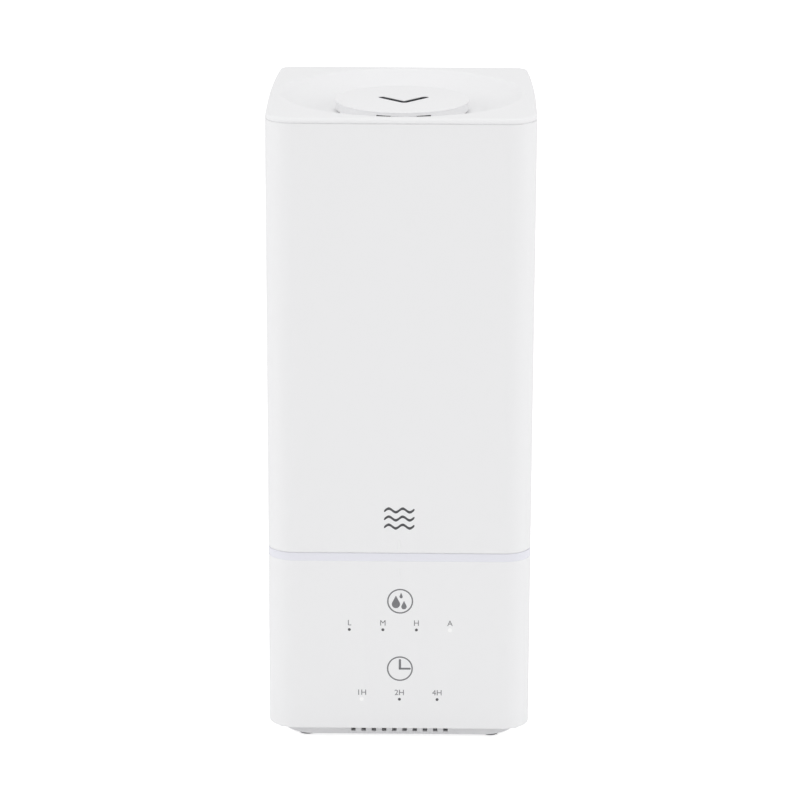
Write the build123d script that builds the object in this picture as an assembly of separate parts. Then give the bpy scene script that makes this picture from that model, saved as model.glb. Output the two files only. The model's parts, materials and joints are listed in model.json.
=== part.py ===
from build123d import *
import math
import os

# Cool mist humidifier: a base with basin, a lift-off tank, a lid with a bowl and a turning nozzle.
# Millimetres. The origin is the centre of the footprint on the table, +Z up, the front faces -Y.

# ---- body outline seen from above ----
BODY = 165.0             # width and depth across the lid
HALF = BODY / 2
FRONT_R = 18.2           # front corners
BACK_R = 8.0             # back corners
SIDE_R = 1300.0          # the sides bow in very slightly towards the back
SIDE_Y = -20.0           # where a side starts to bow
WALL = 2.5

# ---- heights ----
LID_TOP = 398.2
LID_EDGE = 395.5
TANK_TOP = 394.7
TANK_LOW = 125.1
TANK_REST = 124.6        # the inner lip that the tank stands on
RING_LOW = 119.6
HOUSING_LOW = 10.0

# ---- how far each level is drawn in from the lid's outline ----
TANK_DRAFT = 1.0
HOUSING_DRAFT = 1.3

# ---- plinth and feet ----
PLINTH_HALF = 72.0
PLINTH_R = 20.0
PLINTH_LOW = 3.2
FLOOR_TOP = 5.7
PLATE_LOW = 10.5
PLATE_TOP = 13.0
FOOT_X = 57.3
FOOT_Y = 59.5
FOOT_R = 5.6
SLOT_COUNT = 10
SLOT_PITCH = 6.4
SLOT_WIDTH = 2.8
MARK_X = 0.5             # the control marks stand this far right of the middle

# ---- basin ----
DECK_LOW = 117.1
DECK_TOP = 119.6
RIM_TOP = 127.0
TROUGH = (120.0, 87.0)   # width and depth inside
TROUGH_Y = -13.5
TROUGH_FLOOR = 90.5
SUMP_R = 22.0
SUMP_FLOOR = 84.5
RISER_Y = 50.0
RISER_TOP = 134.0
VALVE = (38.0, -28.0)
FLOAT = (-38.0, -28.0)

# ---- tank ----
TANK_FLOOR = 140.0
FLOOR_THICK = 3.0
TUBE_R = 15.5            # mist tube, outside
TUBE_IN = 13.5
TUBE_LOW = 116.0
TUBE_TOP = 381.5

# ---- lid bowl and nozzle ----
BOWL_R = 74.3
BOWL_FLAT_R = 44.0
BOWL_FLOOR = 386.0
LID_THICK = 2.2
SOCKET_R = 21.0
SOCKET_IN = 18.6
SOCKET_LOW = 373.0
GASKET_SEAT = 371.5      # underside of the socket
PLATE_HOLE_R = 76.0      # where the plate ends and the turned bowl begins
PORT_R = 4.2             # the eight filling ports
PORT_RING = 31.0
NOZZLE_R = 41.6
NOZZLE_TOP = 393.8
LIP = 1.0                # the disc's edge stands out over the skirt
LIP_ROUND = 0.45
SKIRT_R = 38.6
SKIRT_IN = 36.6
SKIRT_LOW = 387.6
MOUTH_WIDTH = 33.5
MOUTH_TOP = 391.4
SPLITTER_R = 14.0        # the curved wall behind the mouth that parts the mist
SPLITTER_Y = -22.3
NOZZLE_FLOOR = 388.0
LINER_TOP = 391.3
LINER_THICK = 1.0
LINER_R = SKIRT_IN - 0.02
STEM_R = 18.3
STEM_IN = 16.3
STEM_LOW = 379.5
V_MID = 0.9              # the V outlet stands this far right of the nozzle's middle
V_HALF = 13.2
V_TIP_Y = 5.8
V_APEX_Y = -9.1
V_STROKE = 5.0
NOZZLE_TURN = 2.0        # the nozzle rests turned a little, in degrees

# ---- front panel ----
ICON_Z = (93.7, 49.6)
LEVEL_DOTS = [(MARK_X + 20.8 * (i - 1.5), 75.0) for i in range(4)]
TIMER_DOTS = [(MARK_X + 23.5 * (i - 1), 29.4) for i in range(3)]
LIT_DOTS = [LEVEL_DOTS[3], TIMER_DOTS[0]]
DARK_DOTS = LEVEL_DOTS[:3] + TIMER_DOTS[1:]
DOT_R = 0.95
BOARD_FACE = -74.0       # front face of the upright control board
JACK = (34.0, 26.0)      # x and z of the power inlet in the back wall

# ---- inner parts ----
FAN = (0.0, 42.0)
FAN_SIZE = 50.0
FAN_LOW = 20.0
FAN_TOP = 35.0
FAN_BORE = 23.5
FAN_HUB = 10.5
FAN_HOLES = 21.0         # the fan's screws stand this far off its middle
BLADES = 7
DUCT_LOW = 37.0
DUCT_NECK = 98.0
DUCT_TOP = 112.0
BOARD_THICK = 1.6
MAIN_LOW = 20.0
MAIN_TOP = MAIN_LOW + BOARD_THICK
MAIN_SIZE = (96.0, 62.0)
MAIN_Y = -26.0
SINK = ((-42.0, -23.0), (-6.0, -8.0))    # the heat sink's corners seen from above
SINK_TOP = 47.0
SINK_FINS = 7
SOCKETS = [(-16, -44), (0, -53), (34, -2.5), (-20, -2.5)]
CAPACITORS = [(5, 36, 12, -10), (5, 36, 26, -10), (4, 33, 38, -20)]    # radius, top, x, y
PANEL_HALF = 46.0
DISC_R = 10.0            # transducer
DISC_LOW = 79.4
DISC_TOP = 80.6
SEAL_LOW = 78.0
SEAL_TOP = 82.0
CLAMP_R = 23.0
CLAMP_LOW = 75.5
CLAMP_SCREWS = 19.0      # radius of the ring that its three screws stand on
FLOAT_R = 11.0
FLOAT_LOW = 90.8
FLOAT_HEIGHT = 12.0
POST_TOP = 112.0
PIN_TOP = 117.8
RISER = (44.0, 28.0)
RISER_LOW = 105.0
MAIN_SCREWS = [(x, y) for x in (-43, 43) for y in (-52, 0)]
PANEL_SCREWS = [(x, z) for x in (-40, 40) for z in (24, 97)]
CORNERS = [(x, y) for x in (-1, 1) for y in (-1, 1)]
COVER_SCREW = 72.0
BASIN_SCREW = 64.0


# ---- helpers ----
def at_angle(cx, cy, radius, degrees):
    """A point on a circle."""
    turn = math.radians(degrees)
    return cx + radius * math.cos(turn), cy + radius * math.sin(turn)


def plan_face(inset, z):
    """The body's outline at height z, drawn in by inset all round."""
    edge = HALF - inset
    front_c = HALF - FRONT_R
    side_cx = HALF - SIDE_R
    back_cy = HALF - BACK_R
    back_cx = side_cx + math.sqrt((SIDE_R - BACK_R) ** 2 - (back_cy - SIDE_Y) ** 2)
    lean = math.degrees(math.atan2(back_cy - SIDE_Y, back_cx - side_cx))
    a = (front_c, -edge)
    b = (edge, -front_c)
    c = (edge, SIDE_Y)
    d = at_angle(side_cx, SIDE_Y, SIDE_R - inset, lean)
    e = (back_cx, edge)
    ab = at_angle(front_c, -front_c, FRONT_R - inset, -45)
    cd = at_angle(side_cx, SIDE_Y, SIDE_R - inset, lean / 2)
    de = at_angle(back_cx, back_cy, BACK_R - inset, (90 + lean) / 2)

    def left(point):
        return -point[0], point[1]

    edges = [Line(left(a), a), Line(e, left(e))]
    for side in (lambda p: p, left):
        edges += [ThreePointArc(side(a), side(ab), side(b)), Line(side(b), side(c))]
        edges += [ThreePointArc(side(c), side(cd), side(d)), ThreePointArc(side(d), side(de), side(e))]
    return Pos(0, 0, z) * make_face(Curve() + edges)


def block(sections):
    """A solid through the body's outline at each (inset, z)."""
    return loft([plan_face(inset, z) for inset, z in sections], ruled=True)


def band(outer, inner, low, high):
    """A straight ring that follows the body's outline between two insets."""
    return block([(outer, low), (outer, high)]) - block([(inner, low - 1), (inner, high + 1)])


def slab(size, radius, low, high, x=0.0, y=0.0):
    """An upright block with rounded corners."""
    face = Pos(x, y, low) * RectangleRounded(size[0], size[1], radius)
    return extrude(face, high - low)


def rod(radius, low, high, x=0.0, y=0.0):
    return Pos(x, y, (low + high) / 2) * Cylinder(radius, high - low)


def pipe(outer, inner, low, high, x=0.0, y=0.0):
    return rod(outer, low, high, x, y) - rod(inner, low - 1, high + 1, x, y)


def y_rod(radius, front, back, x, z):
    """A rod along Y."""
    return Pos(x, (front + back) / 2, z) * Rot(90, 0, 0) * Cylinder(radius, back - front)


def box(low, high):
    """A box between two corners."""
    centre = [(a + b) / 2 for a, b in zip(low, high)]
    return Pos(*centre) * Box(*[abs(b - a) for a, b in zip(low, high)])


def screw(x, y, seat, up, length, head_r=2.7, shank_r=1.2):
    """A pan-head screw along Z: up is 1 when its head is above the seat, -1 below."""
    head = rod(head_r, *sorted((seat, seat + up * 1.8)), x, y)
    shank = rod(shank_r, *sorted((seat + up, seat - up * length)), x, y)
    cross = box((x - 1.5, y - 0.4, seat + up * 1.2), (x + 1.5, y + 0.4, seat + up * 3))
    cross += box((x - 0.4, y - 1.5, seat + up * 1.2), (x + 0.4, y + 1.5, seat + up * 3))
    return head + shank - cross


def coil(radius, wire, pitch, length):
    """A coil spring along Z from 0."""
    path = Helix(pitch, length, radius)
    section = Plane(origin=path @ 0, z_dir=path % 0) * Circle(wire)
    return sweep(section, path=path)


def housing_front(z):
    """Where the housing's front wall is at height z."""
    share = (z - HOUSING_LOW) / (RING_LOW - HOUSING_LOW)
    return -(HALF - HOUSING_DRAFT - (TANK_DRAFT - HOUSING_DRAFT) * share)


# ---- base ----
def rubber_feet():
    return [rod(FOOT_R, 0, PLINTH_LOW + 1.2, sx * FOOT_X, sy * FOOT_Y) for sx, sy in CORNERS]


def bottom_cover():
    """A stepped tray: a rim plate in the housing's mouth and a plinth with the air slots."""
    width = 2 * PLINTH_HALF
    cover = block([(4.2, PLATE_LOW), (4.2, PLATE_TOP)])
    cover += slab((width, width), PLINTH_R, PLINTH_LOW, PLATE_LOW + 1)
    cover -= slab((width - 2 * WALL, width - 2 * WALL), PLINTH_R - WALL, FLOOR_TOP, PLATE_TOP + 1)
    for x, y in MAIN_SCREWS:
        cover += pipe(3.0, 1.0, FLOOR_TOP - 1, MAIN_LOW, x, y) + rod(2, FLOOR_TOP - 1, FLOOR_TOP + 1, x, y)
    for sx, sy in CORNERS:
        x, y = FAN[0] + 21 * sx, FAN[1] + 21 * sy
        cover += pipe(3.0, 1.0, FLOOR_TOP - 1, FAN_LOW, x, y) + rod(2, FLOOR_TOP - 1, FLOOR_TOP + 1, x, y)
        cover -= rod(FOOT_R + 0.1, 0, PLINTH_LOW + 1.2, sx * FOOT_X, sy * FOOT_Y)
        cover -= rod(1.7, 9, 14, sx * COVER_SCREW, sy * COVER_SCREW)
    for i in range(SLOT_COUNT):
        x = MARK_X + SLOT_PITCH * (i - (SLOT_COUNT - 1) / 2)
        cover -= box((x - SLOT_WIDTH / 2, -PLINTH_HALF - 1, 5.0), (x + SLOT_WIDTH / 2, -66, 9.6))
    return cover


def base_housing():
    outside = [(2.3, HOUSING_LOW), (1.6, 10.35), (HOUSING_DRAFT, 11.0), (TANK_DRAFT, 119.2), (1.3, RING_LOW)]
    shell = block(outside) - block([(HOUSING_DRAFT + WALL, 9), (TANK_DRAFT + WALL, 120.6)])
    ledge = band(TANK_DRAFT + WALL - 0.2, 7.4, 114.6, DECK_LOW)
    inner = block([(TANK_DRAFT + WALL - 0.2, 100), (TANK_DRAFT + WALL - 0.2, DECK_LOW)])
    for sx, sy in CORNERS:
        tab = box((sx * 70 - 13, sy * 70 - 13, 114.6), (sx * 70 + 13, sy * 70 + 13, DECK_LOW)) & inner
        ledge += tab + rod(4, 104, DECK_LOW, sx * BASIN_SCREW, sy * BASIN_SCREW)
        ledge -= rod(1.25, 106, DECK_LOW + 1, sx * BASIN_SCREW, sy * BASIN_SCREW)
        shell += rod(4, PLATE_TOP, 32, sx * COVER_SCREW, sy * COVER_SCREW)
        shell -= rod(1.25, PLATE_TOP - 1, 29, sx * COVER_SCREW, sy * COVER_SCREW)
    shell += ledge
    for x, z in PANEL_SCREWS:
        shell += y_rod(2.8, -79.6, BOARD_FACE, x, z) - y_rod(1.0, -78.4, BOARD_FACE + 1, x, z)
    for x, z in LEVEL_DOTS + TIMER_DOTS:
        shell -= y_rod(DOT_R, -84, -76, x, z)
    jack_x, jack_z = JACK
    shell -= box((jack_x - 6, 76, jack_z - 5), (jack_x + 6, 84, jack_z + 5))
    for i in range(4):
        x = -46 + 4 * i
        shell -= box((x - 0.8, 76, 54), (x + 0.8, 84, 66))
    shell += box((-0.65, housing_front(112) - 0.3, 109.2), (0.65, -80.5, 115.0))
    return shell


def trim_ring():
    """The pale translucent ring between the housing and the tank."""
    low, high = TANK_DRAFT + 0.3, TANK_DRAFT
    outside = [(low, RING_LOW), (high, RING_LOW + 0.3), (high, TANK_REST - 0.3), (low, TANK_REST)]
    inset = TANK_DRAFT + WALL
    return block(outside) - block([(inset, RING_LOW - 1), (inset, TANK_REST + 1)])


def basin():
    width, depth = TROUGH
    deck = block([(3.9, DECK_LOW), (3.9, DECK_TOP)])
    deck += band(3.9, 6.2, DECK_TOP - 0.5, RIM_TOP)
    deck += slab((width + 5, depth + 5), 14.5, TROUGH_FLOOR - WALL, DECK_TOP, 0, TROUGH_Y)
    deck -= slab((width, depth), 12, TROUGH_FLOOR, DECK_TOP + 1, 0, TROUGH_Y)
    deck += rod(SUMP_R + WALL, SUMP_FLOOR - WALL, TROUGH_FLOOR - 1)
    deck -= rod(SUMP_R, SUMP_FLOOR, TROUGH_FLOOR + 1)
    deck -= rod(DISC_R - 1.5, SEAL_TOP - 2, TROUGH_FLOOR)
    for x, y in clamp_spots():
        deck += rod(3, SEAL_LOW, SEAL_TOP + 0.2, x, y) - rod(1.0, SEAL_LOW - 1, SEAL_TOP, x, y)
    deck -= slab((RISER[0] + 0.2, RISER[1] + 0.2), 6.1, DECK_LOW - 1, DECK_TOP + 1, 0, RISER_Y)
    for sx, sy in CORNERS:
        deck -= rod(1.7, DECK_LOW - 1, DECK_TOP + 1, sx * BASIN_SCREW, sy * BASIN_SCREW)
    return deck


def air_riser():
    """The chimney that plugs into the deck and keeps the fan's air path above the water."""
    width, depth = RISER
    riser = slab((width, depth), 6, RISER_LOW, RISER_TOP, 0, RISER_Y)
    riser += slab((width + 5, depth + 5), 8.5, DECK_TOP, DECK_TOP + 1.5, 0, RISER_Y)
    return riser - slab((width - 4, depth - 4), 4, RISER_LOW - 1, RISER_TOP + 1, 0, RISER_Y)


def basin_posts():
    """The float's post and the finned pin that opens the tank's valve."""
    x, y = VALVE
    fin_low, fin_top = TROUGH_FLOOR + 1, TROUGH_FLOOR + 11.5
    pin = rod(3.0, TROUGH_FLOOR, PIN_TOP, x, y) + rod(8.0, TROUGH_FLOOR, TROUGH_FLOOR + 1.2, x, y)
    pin += box((x - 7, y - 0.8, fin_low), (x + 7, y + 0.8, fin_top))
    pin += box((x - 0.8, y - 7, fin_low), (x + 0.8, y + 7, fin_top))
    return [rod(2.5, TROUGH_FLOOR, POST_TOP, *FLOAT), pin]


def clamp_spots():
    """Where the transducer's three screws stand."""
    return [at_angle(0, 0, CLAMP_SCREWS, 90 + 120 * turn) for turn in range(3)]


def transducer_disc():
    return rod(DISC_R, DISC_LOW, DISC_TOP)


def transducer_seal():
    return pipe(DISC_R + 3, DISC_R - 1.5, SEAL_LOW, SEAL_TOP) - rod(DISC_R, DISC_LOW, DISC_TOP)


def transducer_clamp():
    clamp = pipe(CLAMP_R, DISC_R - 3, CLAMP_LOW, SEAL_LOW)
    for x, y in clamp_spots():
        clamp -= rod(1.4, CLAMP_LOW - 1, SEAL_LOW + 1, x, y)
    return clamp


def transducer_screws():
    return [screw(x, y, CLAMP_LOW, -1, 5.8, 2.6, 0.95) for x, y in clamp_spots()]


def water_float():
    body = pipe(FLOAT_R, 2.9, FLOAT_LOW, FLOAT_LOW + FLOAT_HEIGHT, *FLOAT)
    return body - pipe(7, 4, FLOAT_LOW - 1, FLOAT_LOW + 3.2, *FLOAT)


def float_magnet():
    return pipe(7, 4, FLOAT_LOW + 0.1, FLOAT_LOW + 3.2, *FLOAT)


def float_cap():
    return rod(5, POST_TOP, POST_TOP + 2, *FLOAT)


def level_sensor():
    """The magnet switch that feels the float through the trough's floor."""
    x, y = FLOAT
    return box((x - 9, y - 6, 84.8), (x + 9, y + 6, 86.4)) + rod(3, 86, TROUGH_FLOOR - WALL, x, y)


def fan_frame():
    x, y = FAN
    frame = slab((FAN_SIZE, FAN_SIZE), 4, FAN_LOW, FAN_TOP, x, y)
    frame -= rod(FAN_BORE, FAN_LOW - 1, FAN_TOP + 1, x, y)
    frame += rod(FAN_HUB, FAN_LOW, FAN_LOW + 2, x, y) + pipe(3.2, 1.06, FAN_LOW + 1, FAN_LOW + 10, x, y)
    for turn in (45, 135, 225, 315):
        frame += Pos(x, y, FAN_LOW + 1) * Rot(0, 0, turn) * Pos(17, 0, 0) * Box(15, 2.4, 2)
    frame -= rod(1.06, FAN_LOW + 1, FAN_LOW + 11, x, y)
    for sx, sy in CORNERS:
        frame -= rod(1.5, FAN_LOW - 1, FAN_TOP + 1, x + FAN_HOLES * sx, y + FAN_HOLES * sy)
    return frame


def fan_rotor():
    """A hub cup with its shaft and seven pitched blades."""
    x, y = FAN
    low, high = FAN_LOW + 3, FAN_TOP - 1
    hub = rod(FAN_HUB, low, high, x, y) - rod(FAN_HUB - 1.5, low - 1, high - 1.5, x, y)
    hub += rod(1.0, low - 0.5, high - 1, x, y)
    for i in range(BLADES):
        pitch = Rot(0, 0, i * 360 / BLADES) * Pos(16.3, 0, 0) * Rot(50, 0, 0)
        blade = Pos(x, y, (low + high) / 2) * pitch * Box(13, 12, 1.2)
        hub += blade & pipe(FAN_BORE - 0.7, FAN_HUB - 0.3, low + 0.2, high - 0.2, x, y)
    return hub


def fan_screws():
    return [screw(FAN[0] + FAN_HOLES * sx, FAN[1] + FAN_HOLES * sy, FAN_TOP, 1, 24, 2.7, 0.95)
            for sx, sy in CORNERS]


def air_duct():
    """A funnel from the fan's square up to the basin's air riser."""
    def funnel(low_size, top_size, low, top):
        foot = Pos(*FAN, low) * RectangleRounded(low_size, low_size, 3)
        head = Pos(0, RISER_Y, top) * RectangleRounded(top_size[0], top_size[1], 3)
        return loft([foot, head], ruled=True)

    outer, inner = (RISER[0] - 5, RISER[1] - 5), (RISER[0] - 9, RISER[1] - 9)
    duct = slab((FAN_SIZE, FAN_SIZE), 4, DUCT_LOW, DUCT_LOW + 2, *FAN)
    duct += funnel(FAN_SIZE, outer, DUCT_LOW + 1, DUCT_NECK) + slab(outer, 3, DUCT_NECK, DUCT_TOP, 0, RISER_Y)
    duct -= funnel(FAN_SIZE - 4, inner, DUCT_LOW + 1, DUCT_NECK)
    duct -= slab(inner, 2, DUCT_NECK - 0.5, DUCT_TOP + 1, 0, RISER_Y)
    return duct - rod(FAN_BORE - 1, DUCT_LOW - 1, DUCT_LOW + 3, *FAN)


def main_board():
    board = slab(MAIN_SIZE, 2, MAIN_LOW, MAIN_TOP, 0, MAIN_Y)
    for x, y in MAIN_SCREWS:
        board -= rod(1.5, MAIN_LOW - 1, MAIN_TOP + 1, x, y)
    return board


def main_screws():
    return [screw(x, y, MAIN_TOP, 1, 12, 2.7, 0.95) for x, y in MAIN_SCREWS]


def heat_sink():
    """A finned aluminium block on the board."""
    (left, front), (right, back) = SINK
    sink = box((left, front, MAIN_TOP), (right, front + 3, SINK_TOP))
    pitch = (right - left - 2) / (SINK_FINS - 1)
    for i in range(SINK_FINS):
        x = left + 1 + pitch * i
        sink += box((x - 0.7, front + 2.5, MAIN_TOP), (x + 0.7, back, SINK_TOP))
    return sink


def power_transistor():
    """A three-legged package that stands against the heat sink."""
    x, back = (SINK[0][0] + SINK[1][0]) / 2, SINK[0][1] - 0.05
    body = box((x - 5, back - 4.45, 26), (x + 5, back, 35)) + box((x - 5, back - 1.45, 34), (x + 5, back, 41))
    for leg in (-2.5, 0, 2.5):
        body += box((x + leg - 0.4, back - 2.55, MAIN_TOP), (x + leg + 0.4, back - 1.95, 26.5))
    return body


def capacitors():
    cans = [rod(radius, MAIN_TOP, top, x, y) for radius, top, x, y in CAPACITORS]
    return [fillet(can.edges().sort_by(Axis.Z)[-1], 0.8) for can in cans]


def power_coil():
    return pipe(9, 4, MAIN_TOP, 30, 14, -40)


def cable_sockets():
    """White board connectors: transducer, front panel, power and fan."""
    return [box((x - 4, y - 2.5, MAIN_TOP), (x + 4, y + 2.5, MAIN_TOP + 6.4)) for x, y in SOCKETS]


def control_board():
    board = box((-PANEL_HALF, BOARD_FACE, 16), (PANEL_HALF, BOARD_FACE + BOARD_THICK, 103))
    for x, z in PANEL_SCREWS:
        board -= y_rod(1.4, BOARD_FACE - 1, BOARD_FACE + 3, x, z)
    return board


def panel_screws():
    """Screws along Y that hold the control board to the front wall."""
    screws = []
    for x, z in PANEL_SCREWS:
        seat = BOARD_FACE + BOARD_THICK
        screws.append(y_rod(2.5, seat, seat + 1.8, x, z) + y_rod(0.95, -78, seat + 1, x, z))
    return screws


def touch_springs():
    """The two sensing springs pressed between the board and the front wall."""
    springs = []
    for z in ICON_Z:
        spring = Rot(90, 0, 0) * coil(3.6, 0.35, 1.2, 3.8)
        springs.append(Pos(MARK_X, BOARD_FACE - 0.45, z) * spring)
    return springs


def indicator_leds():
    return [box((x - 1, BOARD_FACE - 0.9, z - 0.7), (x + 1, BOARD_FACE, z + 0.7))
            for x, z in LEVEL_DOTS + TIMER_DOTS]


def lenses(dots):
    """Little light guides through the front wall."""
    return [y_rod(DOT_R - 0.03, housing_front(z) + 0.05, BOARD_FACE - 1.2, x, z) for x, z in dots]


def power_inlet():
    """A barrel jack behind the back wall."""
    x, z = JACK
    jack = box((x - 7, 66, z - 6), (x + 7, 78.5, z + 6)) + box((x - 5.6, 78, z - 4.6), (x + 5.6, 81.0, z + 4.6))
    jack -= y_rod(2.9, 70, 82, x, z)
    return jack + y_rod(1.0, 69, 79.5, x, z)


def humidity_sensor():
    return box((-48, 75.6, 52), (-32, 77.2, 68)) + box((-43, 77, 57), (-37, 78.5, 63))


def cover_screws():
    return [screw(sx * COVER_SCREW, sy * COVER_SCREW, PLATE_LOW, -1, 15, 2.9, 1.2) for sx, sy in CORNERS]


def basin_screws():
    return [screw(sx * BASIN_SCREW, sy * BASIN_SCREW, DECK_TOP, 1, 11, 2.9, 1.2) for sx, sy in CORNERS]


def cable(points, radii, radius):
    """A lead of straight runs and tangent arcs through the points."""
    path = FilletPolyline(*points, radius=radii)
    section = Plane(origin=path @ 0, z_dir=path % 0) * Circle(radius)
    lead = sweep(section, path=path)
    print("cable", round(path.length, 1), "mm, volume ratio",
          round(lead.volume / (math.pi * radius ** 2 * path.length), 4))
    return lead


def transducer_cable():
    return cable([(3, 0, 79.3), (3, 0, 62), (-5, -28, 48), (-16, -44, 44), (-16, -44, 28)], [10, 14, 9], 1.2)


def panel_cable():
    return cable([(0, BOARD_FACE + 1.7, 44), (0, -62, 44), (0, -53, 38), (0, -53, 28)], [6, 5], 1.4)


def power_cable():
    x, z = JACK
    return cable([(x, 65.9, z), (x, 48, z), (x, 30, 34), (x, -2.5, 36), (x, -2.5, 28)], [16, 12, 5], 1.5)


def fan_cable():
    return cable([(-20, 16.9, 31), (-20, 6, 31), (-20, -2.5, 33.5), (-20, -2.5, 28)], [4, 3], 0.9)


# ---- tank ----
def tank_shell():
    outside = [(1.4, TANK_LOW), (TANK_DRAFT, TANK_LOW + 0.4), (0, TANK_TOP - 0.4), (0.4, TANK_TOP)]
    shell = block(outside)
    shell += block([(2.2, TANK_REST), (2.2, TANK_LOW + 1)]) + block([(1.2, TANK_TOP - 1), (1.2, LID_EDGE)])
    shell -= block([(TANK_DRAFT + WALL, TANK_REST - 1), (WALL, LID_EDGE + 1)])
    return shell + box((-0.65, -81.75, 126.7), (0.65, -80.5, 133.2))


def tank_floor():
    x, y = VALVE
    top = TANK_FLOOR + FLOOR_THICK
    floor = block([(TANK_DRAFT + WALL, TANK_FLOOR), (TANK_DRAFT + WALL, top)])
    floor += rod(9, 130, TANK_FLOOR + 1, x, y)
    return floor - rod(6.5, 129, top + 1, x, y) - rod(TUBE_R + 0.1, 139, 145)


def mist_tube():
    return pipe(TUBE_R, TUBE_IN, TUBE_LOW, TUBE_TOP) + pipe(21, TUBE_R - 0.5, 144.2, 146.2)


def tube_seal():
    return pipe(20.5, TUBE_R + 0.1, 143, 144.2)


def tube_nut():
    """A ring nut with six lugs, under the tank's floor."""
    nut = pipe(19, TUBE_R + 0.05, 134, 140)
    for turn in range(6):
        nut += Rot(0, 0, 60 * turn) * box((18, -2.5, 134), (21.5, 2.5, 140))
    return nut


def valve_guide():
    """A spoked bush that holds the plunger in the middle of the neck."""
    x, y = VALVE
    guide = pipe(6.45, 5.2, 130.5, 133.5, x, y) + pipe(3.4, 2.07, 130.5, 133.5, x, y)
    for turn in (90, 210, 330):
        guide += Pos(x, y, 132) * Rot(0, 0, turn) * Pos(4.3, 0, 0) * Box(2.4, 1.4, 3)
    return guide


def valve_plunger():
    x, y = VALVE
    return rod(2.0, 118, 151, x, y) + rod(8.2, 150.2, 152.2, x, y)


def valve_seal():
    return pipe(8.8, 2.05, 148.2, 150.2, *VALVE)


def valve_clip():
    return pipe(4.6, 2.02, 119, 120.4, *VALVE)


def valve_spring():
    x, y = VALVE
    return Pos(x, y, 120.9) * coil(3.2, 0.4, 1.85, 9.1)


# ---- lid ----
def dish_arc(offset, high):
    """Start and middle points of the dish's arc, offset below its face, from its top at height high."""
    rise = LID_TOP - BOWL_FLOOR
    run = BOWL_R - BOWL_FLAT_R
    radius = (run ** 2 + rise ** 2) / (2 * rise)
    centre_z = BOWL_FLOOR + radius
    radius += offset
    start = math.degrees(math.asin((high - centre_z) / radius))
    return (at_angle(BOWL_FLAT_R, centre_z, radius, start),
            at_angle(BOWL_FLAT_R, centre_z, radius, (start - 90) / 2))


def bowl_shell():
    """The turned dish with its flat floor."""
    top, top_mid = dish_arc(0, LID_TOP)
    low, low_mid = dish_arc(LID_THICK, LID_EDGE)
    floor = BOWL_FLOOR - LID_THICK
    outer = 78.0
    edges = [
        ThreePointArc(top, top_mid, (BOWL_FLAT_R, BOWL_FLOOR)),
        Line((BOWL_FLAT_R, BOWL_FLOOR), (SOCKET_IN, BOWL_FLOOR)),
        Line((SOCKET_IN, BOWL_FLOOR), (SOCKET_IN, floor)),
        Line((SOCKET_IN, floor), (BOWL_FLAT_R, floor)),
        ThreePointArc((BOWL_FLAT_R, floor), low_mid, low),
        Line(low, (outer, LID_EDGE)),
        Line((outer, LID_EDGE), (outer, LID_TOP)),
        Line((outer, LID_TOP), top),
    ]
    return revolve(Plane.XZ * make_face(Curve() + edges), Axis.Z)


def lid():
    """A plate with a rounded edge, the bowl, a skirt into the tank and the nozzle's socket."""
    plate = block([(0.3, LID_EDGE), (0, LID_EDGE + 0.4), (0.25, 396.7), (1.0, 397.6), (2.3, LID_TOP)])
    plate -= rod(PLATE_HOLE_R, LID_EDGE - 1, LID_TOP + 1)
    cover = plate + bowl_shell() + band(3.0, 5.2, LID_EDGE - 8, LID_EDGE + 0.5)
    cover += pipe(SOCKET_R, SOCKET_IN, SOCKET_LOW, BOWL_FLOOR + 0.5)
    cover += pipe(SOCKET_R, 17.2, GASKET_SEAT, SOCKET_LOW)
    for turn in range(8):
        cover -= rod(PORT_R, BOWL_FLOOR - 6, BOWL_FLOOR + 4, *at_angle(0, 0, PORT_RING, 22.5 + 45 * turn))
    rim = [e for e in cover.edges().filter_by(GeomType.CIRCLE)
           if abs(e.radius - BOWL_R) < 0.01 and abs(e.center().Z - LID_TOP) < 0.01]
    return fillet(rim, 0.8)


def tube_gasket():
    return pipe(SOCKET_IN, TUBE_R + 0.3, SOCKET_LOW, 377)


# ---- nozzle ----
def chevron(width, low, high):
    """The V outlet as a solid of the given stroke."""
    points = [(V_MID - V_HALF, V_TIP_Y), (V_MID, V_APEX_Y), (V_MID + V_HALF, V_TIP_Y)]
    stroke = Sketch()
    for start, end in zip(points, points[1:]):
        run = math.dist(start, end)
        turn = math.degrees(math.atan2(end[1] - start[1], end[0] - start[0]))
        middle = [(a + b) / 2 for a, b in zip(start, end)]
        stroke += Pos(*middle) * Rot(0, 0, turn) * SlotCenterToCenter(run, width)
    return Pos(0, 0, low) * extrude(stroke, high - low)


def mouth(top):
    """What the mouth leaves open below the given height."""
    return box((-MOUTH_WIDTH / 2, -50, SKIRT_LOW - 1), (MOUTH_WIDTH / 2, -30, top))


def splitter(gap, low, high):
    """The curved wall behind the mouth, grown by a gap."""
    wall = pipe(SPLITTER_R + gap, SPLITTER_R - 1.4 - gap, low, high, 0, SPLITTER_Y)
    return wall & box((-SPLITTER_R - 1, -40, low), (SPLITTER_R + 1, SPLITTER_Y - 4 + gap, high))


def nozzle_cap():
    """The round top with its lip, the V outlet, the front mouth and the splitter behind it."""
    top = rod(NOZZLE_R, NOZZLE_TOP - LIP, NOZZLE_TOP)
    top = fillet(top.edges().sort_by(Axis.Z)[-1], LIP_ROUND)
    cap = top + rod(SKIRT_R, SKIRT_LOW, NOZZLE_TOP - LIP / 2) - rod(SKIRT_IN, SKIRT_LOW - 1, MOUTH_TOP)
    cap -= chevron(V_STROKE, MOUTH_TOP - 1, NOZZLE_TOP + 1)
    cap -= mouth(MOUTH_TOP)
    return Rot(0, 0, NOZZLE_TURN) * (cap + splitter(0, NOZZLE_FLOOR + 0.2, MOUTH_TOP + 0.5))


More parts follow.
